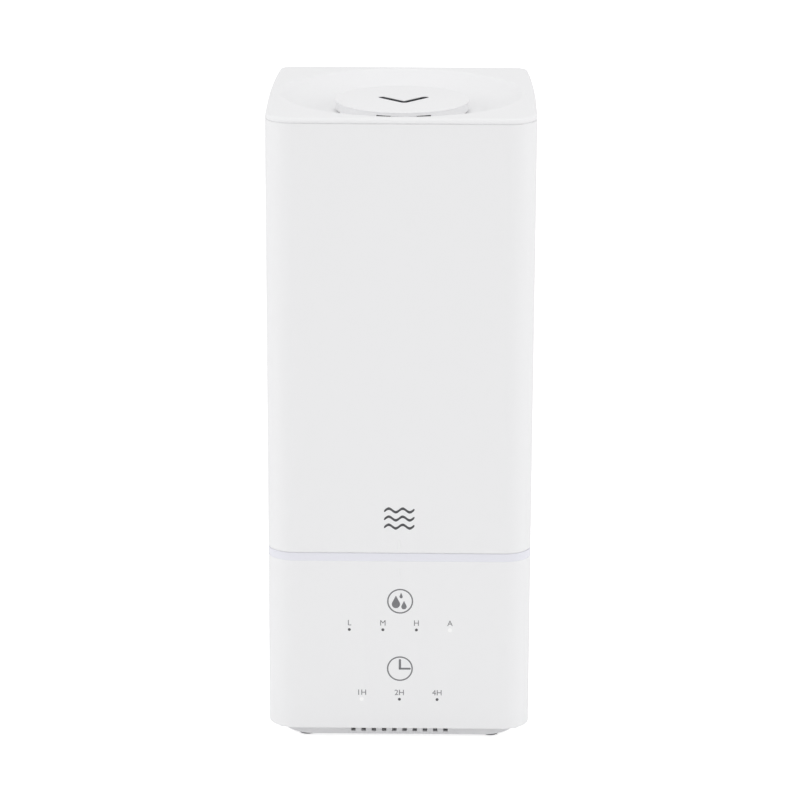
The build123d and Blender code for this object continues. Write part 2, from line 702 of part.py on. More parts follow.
def outlet_liner():
    """The dark insert under the cap, which lines the V outlet and the mouth."""
    low = LINER_TOP - LINER_THICK
    liner = rod(LINER_R, low, LINER_TOP) + pipe(LINER_R, LINER_R - 1.5, low - 1.2, low + 0.2)
    liner += chevron(V_STROKE - 0.2, LINER_TOP - 0.5, NOZZLE_TOP - 0.4)
    liner -= chevron(V_STROKE - 1.6, SKIRT_LOW, NOZZLE_TOP + 1)
    liner -= splitter(0.1, SKIRT_LOW, NOZZLE_TOP)
    return Rot(0, 0, NOZZLE_TURN) * (liner - mouth(low))


def nozzle_base():
    """The floor of the nozzle with the stem that turns in the lid's socket."""
    base = pipe(LINER_R, STEM_IN, NOZZLE_FLOOR - 1, NOZZLE_FLOOR)
    base += pipe(STEM_R, STEM_IN, STEM_LOW, NOZZLE_FLOOR - 0.5)
    base += pipe(22, STEM_IN, BOWL_FLOOR + 0.7, NOZZLE_FLOOR - 0.5)
    return Rot(0, 0, NOZZLE_TURN) * (base - pipe(20, STEM_R - 0.9, STEM_LOW + 1.9, STEM_LOW + 4.1))


def nozzle_seal():
    return pipe(STEM_R + 0.2, STEM_R - 0.85, STEM_LOW + 2.0, STEM_LOW + 4.0)


NODES = {
    "rubber_feet": rubber_feet, "bottom_cover": bottom_cover, "base_housing": base_housing,
    "trim_ring": trim_ring, "basin": basin, "air_riser": air_riser, "basin_posts": basin_posts,
    "transducer_disc": transducer_disc,
    "transducer_seal": transducer_seal, "transducer_clamp": transducer_clamp,
    "transducer_screws": transducer_screws, "water_float": water_float, "float_magnet": float_magnet,
    "float_cap": float_cap, "level_sensor": level_sensor, "fan_frame": fan_frame,
    "fan_rotor": fan_rotor, "fan_screws": fan_screws, "air_duct": air_duct, "main_board": main_board,
    "main_screws": main_screws, "heat_sink": heat_sink, "power_transistor": power_transistor,
    "capacitors": capacitors, "power_coil": power_coil, "cable_sockets": cable_sockets,
    "control_board": control_board, "panel_screws": panel_screws, "touch_springs": touch_springs,
    "indicator_leds": indicator_leds, "lit_lenses": lambda: lenses(LIT_DOTS),
    "dark_lenses": lambda: lenses(DARK_DOTS), "power_inlet": power_inlet,
    "humidity_sensor": humidity_sensor, "cover_screws": cover_screws, "basin_screws": basin_screws,
    "transducer_cable": transducer_cable, "panel_cable": panel_cable, "power_cable": power_cable,
    "fan_cable": fan_cable, "tank_shell": tank_shell, "tank_floor": tank_floor,
    "mist_tube": mist_tube, "tube_seal": tube_seal, "tube_nut": tube_nut, "valve_guide": valve_guide,
    "valve_plunger": valve_plunger, "valve_seal": valve_seal, "valve_clip": valve_clip,
    "valve_spring": valve_spring, "lid": lid, "tube_gasket": tube_gasket, "nozzle_cap": nozzle_cap,
    "outlet_liner": outlet_liner, "nozzle_base": nozzle_base, "nozzle_seal": nozzle_seal,
}

os.makedirs("parts", exist_ok=True)
for name, make in NODES.items():
    made = make()
    if isinstance(made, list):
        made = Compound(children=[piece.solid() for piece in made])
    export_step(made, f"parts/{name}.step")
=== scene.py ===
import json
import logging
import math
from collections.abc import Callable, Sequence
from dataclasses import dataclass, field
from enum import Enum
from functools import cache

import bmesh
import bpy
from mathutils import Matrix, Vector


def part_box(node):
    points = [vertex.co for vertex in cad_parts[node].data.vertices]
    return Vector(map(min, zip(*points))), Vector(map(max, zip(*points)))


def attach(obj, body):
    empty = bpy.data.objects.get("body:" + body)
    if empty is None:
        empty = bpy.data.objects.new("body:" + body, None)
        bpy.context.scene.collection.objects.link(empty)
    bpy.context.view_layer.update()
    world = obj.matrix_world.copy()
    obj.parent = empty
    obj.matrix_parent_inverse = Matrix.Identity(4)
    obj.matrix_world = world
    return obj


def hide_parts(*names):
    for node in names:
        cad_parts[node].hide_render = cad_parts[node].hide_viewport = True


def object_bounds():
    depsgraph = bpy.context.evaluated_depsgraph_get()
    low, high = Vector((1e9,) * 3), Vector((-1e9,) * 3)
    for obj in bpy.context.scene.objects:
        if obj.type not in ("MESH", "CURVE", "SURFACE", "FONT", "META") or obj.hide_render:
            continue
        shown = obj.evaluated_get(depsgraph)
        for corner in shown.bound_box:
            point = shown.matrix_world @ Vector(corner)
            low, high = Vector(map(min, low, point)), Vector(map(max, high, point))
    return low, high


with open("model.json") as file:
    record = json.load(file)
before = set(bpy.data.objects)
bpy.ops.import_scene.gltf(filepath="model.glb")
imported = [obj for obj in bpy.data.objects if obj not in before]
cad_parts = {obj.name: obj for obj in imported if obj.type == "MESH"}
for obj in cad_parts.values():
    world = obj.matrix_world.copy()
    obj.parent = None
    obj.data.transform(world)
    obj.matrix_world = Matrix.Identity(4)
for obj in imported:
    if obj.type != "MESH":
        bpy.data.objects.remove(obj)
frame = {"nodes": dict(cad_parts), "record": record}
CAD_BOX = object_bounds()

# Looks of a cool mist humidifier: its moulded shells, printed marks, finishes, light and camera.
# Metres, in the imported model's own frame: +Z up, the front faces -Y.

log = logging.getLogger("humidifier")
MM = 0.001
TINY = 1e-6
Point = tuple[float, float]
Step = tuple[float, float]              # an inset or radius, and a height
Place = tuple[float, float, float]
Colour = tuple[float, float, float]


@cache
def box_of(node: str) -> tuple[Vector, Vector]:
    """The lowest and highest corner of a CAD node, looked up once."""
    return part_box(node)


# ---------------------------------------------------------------- modelling tools
def clear_selection() -> None:
    """Leaves edit mode and deselects everything."""
    if bpy.context.object and bpy.context.object.mode != "OBJECT":
        bpy.ops.object.mode_set(mode="OBJECT")
    bpy.ops.object.select_all(action="DESELECT")


def choose(piece: bpy.types.Object) -> None:
    """Makes the piece the only selected object and the active one.

    Args:
        piece: The object to work on.
    """
    clear_selection()
    piece.select_set(True)
    bpy.context.view_layer.objects.active = piece


def apply_place(piece: bpy.types.Object) -> None:
    """Moves the object's place, turn and scale into its mesh.

    Args:
        piece: The object to settle.
    """
    choose(piece)
    bpy.ops.object.transform_apply(location=True, rotation=True, scale=True)


def apply_modifier(piece: bpy.types.Object, kind: str, **values: object) -> None:
    """Adds one modifier and applies it.

    Args:
        piece: The object to change.
        kind: The modifier's type.
        **values: Its settings.
    """
    choose(piece)
    modifier = piece.modifiers.new(kind.lower(), kind)
    for key, value in values.items():
        setattr(modifier, key, value)
    bpy.ops.object.modifier_apply(modifier=modifier.name)


def carve(piece: bpy.types.Object, cutters: Sequence[bpy.types.Object]) -> None:
    """Cuts the cutters out of the piece and removes them.

    Args:
        piece: The object that is cut.
        cutters: Closed solids.
    """
    for cutter in cutters:
        apply_modifier(piece, "BOOLEAN", operation="DIFFERENCE", solver="EXACT", object=cutter)
        bpy.data.objects.remove(cutter)


def join(pieces: Sequence[bpy.types.Object], name: str) -> bpy.types.Object:
    """Joins pieces into one object.

    Args:
        pieces: The objects, of which the first stays.
        name: The joined object's name.

    Returns:
        The joined object.
    """
    choose(pieces[0])
    for piece in pieces[1:]:
        piece.select_set(True)
    if len(pieces) > 1:
        bpy.ops.object.join()
    pieces[0].name = name
    return pieces[0]


def smooth(piece: bpy.types.Object, degrees: float = 35.0) -> None:
    """Shades the piece smooth except where faces meet at more than the angle.

    Args:
        piece: The object to shade.
        degrees: The angle.
    """
    choose(piece)
    bpy.ops.object.shade_smooth_by_angle(angle=math.radians(degrees))


def tidy_mesh(piece: bpy.types.Object) -> None:
    """Merges doubles and turns all faces outwards.

    Args:
        piece: The mesh to tidy.
    """
    choose(piece)
    bpy.ops.object.mode_set(mode="EDIT")
    bpy.ops.mesh.select_all(action="SELECT")
    bpy.ops.mesh.remove_doubles(threshold=TINY)
    bpy.ops.mesh.normals_make_consistent(inside=False)
    bpy.ops.object.mode_set(mode="OBJECT")


# ---------------------------------------------------------------- plan outlines
class Outline:
    """A closed plan curve on which loops of points are laid, drawn in by an inset."""

    def points(self) -> list[Point]:
        """The outline's own points, anticlockwise."""
        raise NotImplementedError

    def snap(self, x: float, y: float, inset: float) -> Point:
        """The point of the drawn-in outline that belongs to a point near it.

        Args:
            x: The point's place.
            y: The point's place.
            inset: How far the outline is drawn in.

        Returns:
            The place on the drawn-in outline.
        """
        raise NotImplementedError


def on_ray(centre: Point, x: float, y: float, radius: float) -> Point:
    """The point at a distance from the centre, towards x, y.

    Args:
        centre: Where the ray starts.
        x: A point on the ray.
        y: A point on the ray.
        radius: The distance.

    Returns:
        The point.
    """
    dx, dy = x - centre[0], y - centre[1]
    size = math.hypot(dx, dy) or 1.0
    return centre[0] + dx / size * radius, centre[1] + dy / size * radius


@dataclass(frozen=True)
class BodyOutline(Outline):
    """The humidifier's plan: round front corners, sides that bow in to tighter back corners."""

    half: float
    front_r: float = 18.2 * MM
    back_r: float = 8.0 * MM
    side_r: float = 1.3
    side_y: float = -20.0 * MM
    corner_facets: int = 20
    side_facets: int = 12
    straight_runs: int = 4
    wall_runs: int = 12

    @property
    def front_c(self) -> float:
        """Where the front corners' centres stand off the middle."""
        return self.half - self.front_r

    @property
    def side_c(self) -> Point:
        """The centre of the right side's long arc."""
        return self.half - self.side_r, self.side_y

    @property
    def back_c(self) -> Point:
        """The centre of the right back corner."""
        y = self.half - self.back_r
        reach = math.sqrt((self.side_r - self.back_r) ** 2 - (y - self.side_y) ** 2)
        return self.side_c[0] + reach, y

    @property
    def lean(self) -> float:
        """The angle at which the side's long arc meets the back corner."""
        return math.atan2(self.back_c[1] - self.side_y, self.back_c[0] - self.side_c[0])

    def snap(self, x: float, y: float, inset: float) -> Point:
        """See Outline."""
        sign = -1.0 if x < 0 else 1.0
        ax = abs(x)
        edge = self.half - inset
        if ax <= self.front_c + TINY and y < 0:
            return x, -edge
        if ax <= self.back_c[0] + TINY and y > 0:
            return x, edge
        if ax > self.front_c and y < -self.front_c - TINY:
            px, py = on_ray((self.front_c, -self.front_c), ax, y, self.front_r - inset)
        elif math.atan2(y - self.side_y, ax - self.side_c[0]) > self.lean + TINY:
            px, py = on_ray(self.back_c, ax, y, self.back_r - inset)
        elif y <= self.side_y:
            px, py = edge, y
        else:
            px, py = on_ray(self.side_c, ax, y, self.side_r - inset)
        return sign * px, py

    def points(self) -> list[Point]:
        """See Outline."""
        right: list[Point] = []
        for i in range(self.corner_facets + 1):
            turn = -math.pi / 2 * (1 - i / self.corner_facets)
            right.append((self.front_c + self.front_r * math.cos(turn),
                          -self.front_c + self.front_r * math.sin(turn)))
        for i in range(1, self.straight_runs + 1):
            right.append((self.half, -self.front_c + (self.side_y + self.front_c) * i / self.straight_runs))
        for i in range(1, self.side_facets + 1):
            turn = self.lean * i / self.side_facets
            right.append((self.side_c[0] + self.side_r * math.cos(turn),
                          self.side_y + self.side_r * math.sin(turn)))
        facets = self.corner_facets // 2
        for i in range(1, facets + 1):
            turn = self.lean + (math.pi / 2 - self.lean) * i / facets
            right.append((self.back_c[0] + self.back_r * math.cos(turn),
                          self.back_c[1] + self.back_r * math.sin(turn)))
        shares = [1 - 2 * i / self.wall_runs for i in range(1, self.wall_runs)]
        back = [(self.back_c[0] * share, self.half) for share in shares]
        left = [(-x, y) for x, y in reversed(right)]
        front = [(-self.front_c * share, -self.half) for share in shares]
        return right + back + left + front


@dataclass(frozen=True)
class RoundOutline(Outline):
    """A circle. Its inset draws in from the radius."""

    radius: float
    count: int = 96
    centre: Point = (0.0, 0.0)

    def points(self) -> list[Point]:
        """See Outline."""
        turns = [2 * math.pi * i / self.count for i in range(self.count)]
        return [(self.centre[0] + self.radius * math.cos(t), self.centre[1] + self.radius * math.sin(t))
                for t in turns]

    def snap(self, x: float, y: float, inset: float) -> Point:
        """See Outline."""
        return on_ray(self.centre, x, y, self.radius - inset)


@dataclass(frozen=True)
class SlotOutline(Outline):
    """A slot with round ends between two points."""

    start: Point
    end: Point
    radius: float
    facets: int = 12
    runs: int = 1

    def points(self) -> list[Point]:
        """See Outline."""
        dx, dy = self.end[0] - self.start[0], self.end[1] - self.start[1]
        turn = math.atan2(dy, dx)
        made: list[Point] = []
        for centre, first, other in ((self.end, turn - math.pi / 2, self.start),
                                     (self.start, turn + math.pi / 2, self.end)):
            for i in range(self.facets + 1):
                angle = first + math.pi * i / self.facets
                made.append((centre[0] + self.radius * math.cos(angle),
                             centre[1] + self.radius * math.sin(angle)))
            side = made[-1]
            for i in range(1, self.runs):
                share = i / self.runs
                made.append((side[0] + (other[0] - centre[0]) * share,
                             side[1] + (other[1] - centre[1]) * share))
        return made

    def snap(self, x: float, y: float, inset: float) -> Point:
        """See Outline."""
        dx, dy = self.end[0] - self.start[0], self.end[1] - self.start[1]
        along = ((x - self.start[0]) * dx + (y - self.start[1]) * dy) / (dx * dx + dy * dy)
        along = min(1.0, max(0.0, along))
        centre = self.start[0] + dx * along, self.start[1] + dy * along
        return on_ray(centre, x, y, self.radius - inset)


@dataclass(frozen=True)
class BoxOutline(Outline):
    """A rectangle with round corners."""

    half_x: float
    half_y: float
    radius: float
    facets: int = 10
    centre: Point = (0.0, 0.0)

    def points(self) -> list[Point]:
        """See Outline."""
        made: list[Point] = []
        cx, cy = self.half_x - self.radius, self.half_y - self.radius
        for sx, sy, first in ((1, -1, -90), (1, 1, 0), (-1, 1, 90), (-1, -1, 180)):
            for i in range(self.facets + 1):
                turn = math.radians(first + 90 * i / self.facets)
                made.append((self.centre[0] + sx * cx + self.radius * math.cos(turn),
                             self.centre[1] + sy * cy + self.radius * math.sin(turn)))
        return made

    def snap(self, x: float, y: float, inset: float) -> Point:
        """See Outline."""
        x, y = x - self.centre[0], y - self.centre[1]
        cx, cy = self.half_x - self.radius, self.half_y - self.radius
        near = min(max(x, -cx), cx), min(max(y, -cy), cy)
        px, py = on_ray(near, x, y, self.radius - inset)
        return self.centre[0] + px, self.centre[1] + py


class LoopBuilder:
    """Builds a wall loop by loop: each loop is extruded from the last and laid on the outline."""

    def __init__(self, name: str, outline: Outline, start: Step) -> None:
        """Lays the first loop.

        Args:
            name: The piece's name.
            outline: The plan curve of every loop.
            start: The first loop's inset and height.
        """
        self.outline = outline
        clear_selection()
        bpy.ops.mesh.primitive_circle_add(vertices=len(outline.points()), fill_type="NOTHING")
        self.piece = bpy.context.object
        self.piece.name = name
        for vert, place in zip(self.piece.data.vertices, outline.points()):
            vert.co = (*outline.snap(*place, start[0]), start[1])
        self.count = len(self.piece.data.vertices)
        choose(self.piece)
        bpy.ops.object.mode_set(mode="EDIT")
        bpy.ops.mesh.select_mode(type="EDGE")
        bpy.ops.mesh.select_all(action="SELECT")

    def run(self, steps: Sequence[Step]) -> "LoopBuilder":
        """Extrudes one loop for each step.

        Args:
            steps: Insets and heights.

        Returns:
            The builder.
        """
        for inset, height in steps:
            bpy.ops.mesh.extrude_region_move(TRANSFORM_OT_translate={"value": (0, 0, MM)})
            work = bmesh.from_edit_mesh(self.piece.data)
            for vert in work.verts:
                if vert.select:
                    vert.co = (*self.outline.snap(vert.co.x, vert.co.y, inset), height)
            bmesh.update_edit_mesh(self.piece.data)
        return self

    def cap(self) -> "LoopBuilder":
        """Closes the last loop with a face."""
        bpy.ops.mesh.edge_face_add()
        return self

    def cap_start(self) -> "LoopBuilder":
        """Closes the first loop with a face."""
        bpy.ops.mesh.select_all(action="DESELECT")
        self._add_first()
        bpy.ops.mesh.edge_face_add()
        return self

    def close(self) -> "LoopBuilder":
        """Joins the last loop to the first, which makes a closed ring."""
        self._add_first()
        bpy.ops.mesh.bridge_edge_loops()
        return self

    def done(self, degrees: float = 35.0) -> bpy.types.Object:
        """Leaves edit mode, turns the faces outwards and shades the piece.

        Args:
            degrees: Edges sharper than this stay sharp.

        Returns:
            The finished piece.
        """
        bpy.ops.object.mode_set(mode="OBJECT")
        tidy_mesh(self.piece)
        smooth(self.piece, degrees)
        return self.piece

    def _add_first(self) -> None:
        """Adds the first loop to what is selected."""
        work = bmesh.from_edit_mesh(self.piece.data)
        work.verts.ensure_lookup_table()
        first = set(work.verts[: self.count])
        for edge in work.edges:
            if edge.verts[0] in first and edge.verts[1] in first:
                edge.select_set(True)
        bmesh.update_edit_mesh(self.piece.data)


def arc_steps(centre: Step, radius: float, first: float, last: float, facets: int) -> list[Step]:
    """Steps round an arc in the plane of height and inset, or radius.

    Args:
        centre: The arc's centre.
        radius: Its radius.
        first: The first angle in degrees: 0 is along the inset or radius, 90 is up.
        last: The last angle.
        facets: How many facets.

    Returns:
        The steps, both ends among them.
    """
    turns = [math.radians(first + (last - first) * i / facets) for i in range(facets + 1)]
    return [(centre[0] + radius * math.cos(t), centre[1] + radius * math.sin(t)) for t in turns]


def turned(name: str, steps: Sequence[Step], count: int = 96, degrees: float = 35.0,
           centre: Point = (0.0, 0.0), closed: bool = True) -> bpy.types.Object:
    """A turned piece from radii and heights.

    Args:
        name: The piece's name.
        steps: Radius and height of each loop.
        count: Points round the piece.
        degrees: Edges sharper than this stay sharp.
        centre: The axis.
        closed: Whether it is a ring, and not a solid with two flat ends.

    Returns:
        The piece.
    """
    outline = RoundOutline(steps[0][0], count, centre)
    laid = [(steps[0][0] - radius, height) for radius, height in steps]
    builder = LoopBuilder(name, outline, laid[0]).run(laid[1:])
    if closed:
        builder.close()
    else:
        builder.cap().cap_start()
    return builder.done(degrees)


def column(name: str, outline: Outline, steps: Sequence[Step], degrees: float = 35.0) -> bpy.types.Object:
    """A closed solid on an outline, with flat ends.

    Args:
        name: The piece's name.
        outline: Its plan.
        steps: Inset and height of each loop, from the bottom up.
        degrees: Edges sharper than this stay sharp.

    Returns:
        The solid.
    """
    return LoopBuilder(name, outline, steps[0]).run(steps[1:]).cap().cap_start().done(degrees)


def face_front(piece: bpy.types.Object, x: float, z: float) -> None:
    """Stands a flat piece made on the ground up against a plane that faces -Y.

    Args:
        piece: The flat piece.
        x: Where its origin goes.
        z: Where its origin goes.
    """
    piece.rotation_euler = (math.pi / 2, 0, 0)
    piece.location = (x, 0, z)
    apply_place(piece)


# ---------------------------------------------------------------- finishes
class Graph:
    """A short way to lay nodes in a tree."""

    def __init__(self, tree: bpy.types.NodeTree) -> None:
        """Starts on an empty tree."""
        self.tree = tree

    def node(self, kind: str, inputs: dict[str, object] | None = None, **settings: object) -> bpy.types.Node:
        """Adds a node.

        Args:
            kind: The node's type without its ShaderNode prefix.
            inputs: A value or an output socket for each named input.
            **settings: The node's own settings.

        Returns:
            The node.
        """
        made = self.tree.nodes.new("ShaderNode" + kind)
        for key, value in settings.items():
            setattr(made, key, value)
        for key, value in (inputs or {}).items():
            self.feed(made.inputs[key], value)
        return made

    def feed(self, socket: bpy.types.NodeSocket, value: object) -> None:
        """Sets or links one input.

        Args:
            socket: The input.
            value: A number, a colour or an output socket.
        """
        if isinstance(value, bpy.types.NodeSocket):
            self.tree.links.new(value, socket)
        else:
            socket.default_value = value

    def inlet(self) -> bpy.types.Node:
        """The group's input node."""
        return self.tree.nodes.new("NodeGroupInput")

    def put_out(self, **values: bpy.types.NodeSocket) -> None:
        """Feeds the group's outputs.

        Args:
            **values: A socket for each output.
        """
        out = self.tree.nodes.new("NodeGroupOutput")
        for key, value in values.items():
            self.feed(out.inputs[key], value)

    def spread(self, value: bpy.types.NodeSocket, low: float, high: float) -> bpy.types.NodeSocket:
        """Maps a mask from 0 and 1 to low and high.

        Args:
            value: The mask.
            low: What 0 becomes.
            high: What 1 becomes.

        Returns:
            The mapped value.
        """
        return self.node("MapRange", {"Value": value, "To Min": low, "To Max": high}).outputs["Result"]


class Effect(Enum):
    """Shared effects, each a node group that puts out masks and heights."""

    GRAIN = "moulding_grain"
    MOTTLE = "soft_mottle"
    RUB = "edge_rub"
    BRUSH = "brushed_lines"

    def group(self) -> bpy.types.NodeTree:
        """The effect's node group, built on first use."""
        made = bpy.data.node_groups.get(self.value)
        if made:
            return made
        made = bpy.data.node_groups.new(self.value, "ShaderNodeTree")
        builders = {Effect.GRAIN: _build_grain, Effect.MOTTLE: _build_mottle,
                    Effect.RUB: _build_rub, Effect.BRUSH: _build_brush}
        builders[self](made)
        return made


def _sockets(tree: bpy.types.NodeTree, inputs: dict[str, float], outputs: Sequence[str]) -> None:
    """Names a group's inputs, with their defaults, and outputs."""
    for name, default in inputs.items():
        socket = tree.interface.new_socket(name, in_out="INPUT", socket_type="NodeSocketFloat")
        socket.default_value = default
    for name in outputs:
        tree.interface.new_socket(name, in_out="OUTPUT", socket_type="NodeSocketFloat")


def _build_grain(tree: bpy.types.NodeTree) -> None:
    """Spark-eroded mould grain: two sizes of fine noise."""
    _sockets(tree, {"Scale": 2600.0}, ["Height", "Mask"])
    graph = Graph(tree)
    inside = graph.inlet()
    place = graph.node("TexCoord").outputs["Object"]
    fine = graph.node("TexNoise", {"Vector": place, "Scale": inside.outputs["Scale"], "Detail": 3.0,
                                   "Roughness": 0.55})
    broad = graph.node("Math", {0: inside.outputs["Scale"], 1: 0.23}, operation="MULTIPLY")
    coarse = graph.node("TexNoise", {"Vector": place, "Scale": broad.outputs[0], "Detail": 2.0})
    both = graph.node("Math", {0: coarse.outputs["Fac"], 1: 0.45, 2: fine.outputs["Fac"]},
                      operation="MULTIPLY_ADD")
    mask = graph.node("MapRange", {"Value": coarse.outputs["Fac"], "From Min": 0.35, "From Max": 0.65})
    graph.put_out(Height=both.outputs[0], Mask=mask.outputs["Result"])


def _build_mottle(tree: bpy.types.NodeTree) -> None:
    """Broad, soft variation from moulding flow and handling."""
    _sockets(tree, {"Scale": 18.0}, ["Mask"])
    graph = Graph(tree)
    inside = graph.inlet()
    place = graph.node("TexCoord").outputs["Object"]
    cloud = graph.node("TexNoise", {"Vector": place, "Scale": inside.outputs["Scale"], "Detail": 4.0,
                                    "Roughness": 0.6, "Distortion": 0.4})
    mask = graph.node("MapRange", {"Value": cloud.outputs["Fac"], "From Min": 0.3, "From Max": 0.7})
    graph.put_out(Mask=mask.outputs["Result"])


def _build_rub(tree: bpy.types.NodeTree) -> None:
    """Where edges are rubbed: the rounded normal turns away from the true one, broken up by noise."""
    _sockets(tree, {"Radius": 0.6 * MM, "Amount": 1.0}, ["Mask"])
    graph = Graph(tree)
    inside = graph.inlet()
    geometry = graph.node("NewGeometry")
    round_normal = graph.node("Bevel", {"Radius": inside.outputs["Radius"]}, samples=4)
    facing = graph.node("VectorMath", {0: geometry.outputs["Normal"], 1: round_normal.outputs["Normal"]},
                        operation="DOT_PRODUCT")
    edge = graph.node("MapRange", {"Value": facing.outputs["Value"], "From Min": 0.995, "From Max": 0.8})
    place = graph.node("TexCoord").outputs["Object"]
    speck = graph.node("TexNoise", {"Vector": place, "Scale": 420.0, "Detail": 3.0})
    broken = graph.node("MapRange", {"Value": speck.outputs["Fac"], "From Min": 0.38, "From Max": 0.62})
    worn = graph.node("Math", {0: edge.outputs["Result"], 1: broken.outputs["Result"]}, operation="MULTIPLY")
    much = graph.node("Math", {0: worn.outputs[0], 1: inside.outputs["Amount"]}, operation="MULTIPLY")
    graph.put_out(Mask=much.outputs[0])


def _build_brush(tree: bpy.types.NodeTree) -> None:
    """Long fine lines of drawn or rolled metal."""
    _sockets(tree, {"Scale": 900.0}, ["Height"])
    graph = Graph(tree)
    inside = graph.inlet()
    place = graph.node("TexCoord").outputs["Object"]
    long = graph.node("Mapping", {"Vector": place, "Scale": (0.06, 1.0, 1.0)})
    lines = graph.node("TexNoise", {"Vector": long.outputs["Vector"], "Scale": inside.outputs["Scale"],
                                    "Detail": 3.0})
    graph.put_out(Height=lines.outputs["Fac"])


@dataclass(frozen=True)
class Finish:
    """A surface finish whose material is built once."""

    name: str
    colour: Colour
    roughness: float = 0.45
    tone: float = 0.02
    grain_depth: float = 0.012 * MM
    grain_scale: float = 2600.0
    mottle_scale: float = 18.0

    def material(self) -> bpy.types.Material:
        """The finish's material, built on first use."""
        made = bpy.data.materials.get(self.name)
        if made:
            return made
        made = bpy.data.materials.new(self.name)
        made.use_nodes = True
        made.node_tree.nodes.clear()
        graph = Graph(made.node_tree)
        shader = graph.node("BsdfPrincipled")
        output = graph.node("OutputMaterial")
        graph.feed(output.inputs["Surface"], shader.outputs["BSDF"])
        self.dress(graph, shader)
        return made

    def shade(self, graph: Graph, mask: bpy.types.NodeSocket, tone: float,
              colour: Colour | None = None) -> bpy.types.NodeSocket:
        """The colour, a little darker and lighter by a mask.

        Args:
            graph: The material's nodes.
            mask: The variation.
            tone: How far it goes each way.
            colour: The colour, if it isn't the finish's own.

        Returns:
            The varied colour.
        """
        base = colour or self.colour
        dark = (*[c * (1 - tone) for c in base], 1.0)
        light = (*[min(1.0, c * (1 + tone)) for c in base], 1.0)
        mix = graph.node("Mix", {"Factor": mask}, data_type="RGBA")
        graph.feed(mix.inputs[6], dark)
        graph.feed(mix.inputs[7], light)
        return mix.outputs[2]

    def effect(self, graph: Graph, effect: Effect, **inputs: float) -> bpy.types.Node:
        """Places a shared effect.

        Args:
            graph: The material's nodes.
            effect: Which effect.
            **inputs: Its values.

        Returns:
            The group's node.
        """
        made = graph.node("Group", node_tree=effect.group())
        for key, value in inputs.items():
            made.inputs[key].default_value = value
        return made

    def bump(self, graph: Graph, shader: bpy.types.Node, height: bpy.types.NodeSocket, depth: float) -> None:
        """Feeds a height to the shader's normal.

        Args:
            graph: The material's nodes.
            shader: The shader.
            height: The height from 0 to 1.
            depth: What 1 is in metres.
        """
        made = graph.node("Bump", {"Height": height, "Strength": 1.0, "Distance": depth})
        graph.feed(shader.inputs["Normal"], made.outputs["Normal"])

    def dress(self, graph: Graph, shader: bpy.types.Node) -> None:
        """Feeds the shader's inputs.

        Args:
            graph: The material's nodes.
            shader: The shader.
        """
        grain = self.effect(graph, Effect.GRAIN, Scale=self.grain_scale)
        mottle = self.effect(graph, Effect.MOTTLE, Scale=self.mottle_scale)
        graph.feed(shader.inputs["Base Color"], self.shade(graph, mottle.outputs["Mask"], self.tone))
        rough = graph.spread(mottle.outputs["Mask"], self.roughness - 0.04, self.roughness + 0.05)
        graph.feed(shader.inputs["Roughness"], rough)
        self.bump(graph, shader, grain.outputs["Height"], self.grain_depth)


@dataclass(frozen=True)
class Plastic(Finish):
    """Moulded plastic: fine grain, a breath of translucency, and rubbed edges."""

    wear: float = 0.35
    wear_colour: Colour = (0.95, 0.95, 0.95)
    wear_radius: float = 0.5 * MM
    depth_glow: float = 0.0
    glow_reach: Colour = (2.2 * MM, 2.2 * MM, 2.4 * MM)

    def dress(self, graph: Graph, shader: bpy.types.Node) -> None:
        """See Finish."""
        grain = self.effect(graph, Effect.GRAIN, Scale=self.grain_scale)
        mottle = self.effect(graph, Effect.MOTTLE, Scale=self.mottle_scale)
        rub = self.effect(graph, Effect.RUB, Radius=self.wear_radius, Amount=self.wear)
        body = self.shade(graph, mottle.outputs["Mask"], self.tone)
        mix = graph.node("Mix", {"Factor": rub.outputs["Mask"]}, data_type="RGBA")
        graph.feed(mix.inputs[6], body)
        graph.feed(mix.inputs[7], (*self.wear_colour, 1.0))
        graph.feed(shader.inputs["Base Color"], mix.outputs[2])
        rough = graph.spread(mottle.outputs["Mask"], self.roughness - 0.04, self.roughness + 0.04)
        polished = graph.node("Mix", {"Factor": rub.outputs["Mask"]}, data_type="FLOAT")
        graph.feed(polished.inputs[2], rough)
        graph.feed(polished.inputs[3], max(0.1, self.roughness - 0.12))
        graph.feed(shader.inputs["Roughness"], polished.outputs[0])
        self.bump(graph, shader, grain.outputs["Height"], self.grain_depth)
        if self.depth_glow:
            shader.inputs["Subsurface Weight"].default_value = self.depth_glow
            shader.inputs["Subsurface Radius"].default_value = self.glow_reach
            shader.inputs["Subsurface Scale"].default_value = 1.0


@dataclass(frozen=True)
class Metal(Finish):
    """Bare or plated metal with drawn lines."""

    lines: float = 0.006 * MM
    cloud_scale: float = 90.0

    def dress(self, graph: Graph, shader: bpy.types.Node) -> None:
        """See Finish."""
        brush = self.effect(graph, Effect.BRUSH)
        mottle = self.effect(graph, Effect.MOTTLE, Scale=self.cloud_scale)
        graph.feed(shader.inputs["Base Color"], self.shade(graph, mottle.outputs["Mask"], self.tone))
        shader.inputs["Metallic"].default_value = 1.0
        rough = graph.spread(brush.outputs["Height"], self.roughness - 0.08, self.roughness + 0.1)
        graph.feed(shader.inputs["Roughness"], rough)
        self.bump(graph, shader, brush.outputs["Height"], self.lines)


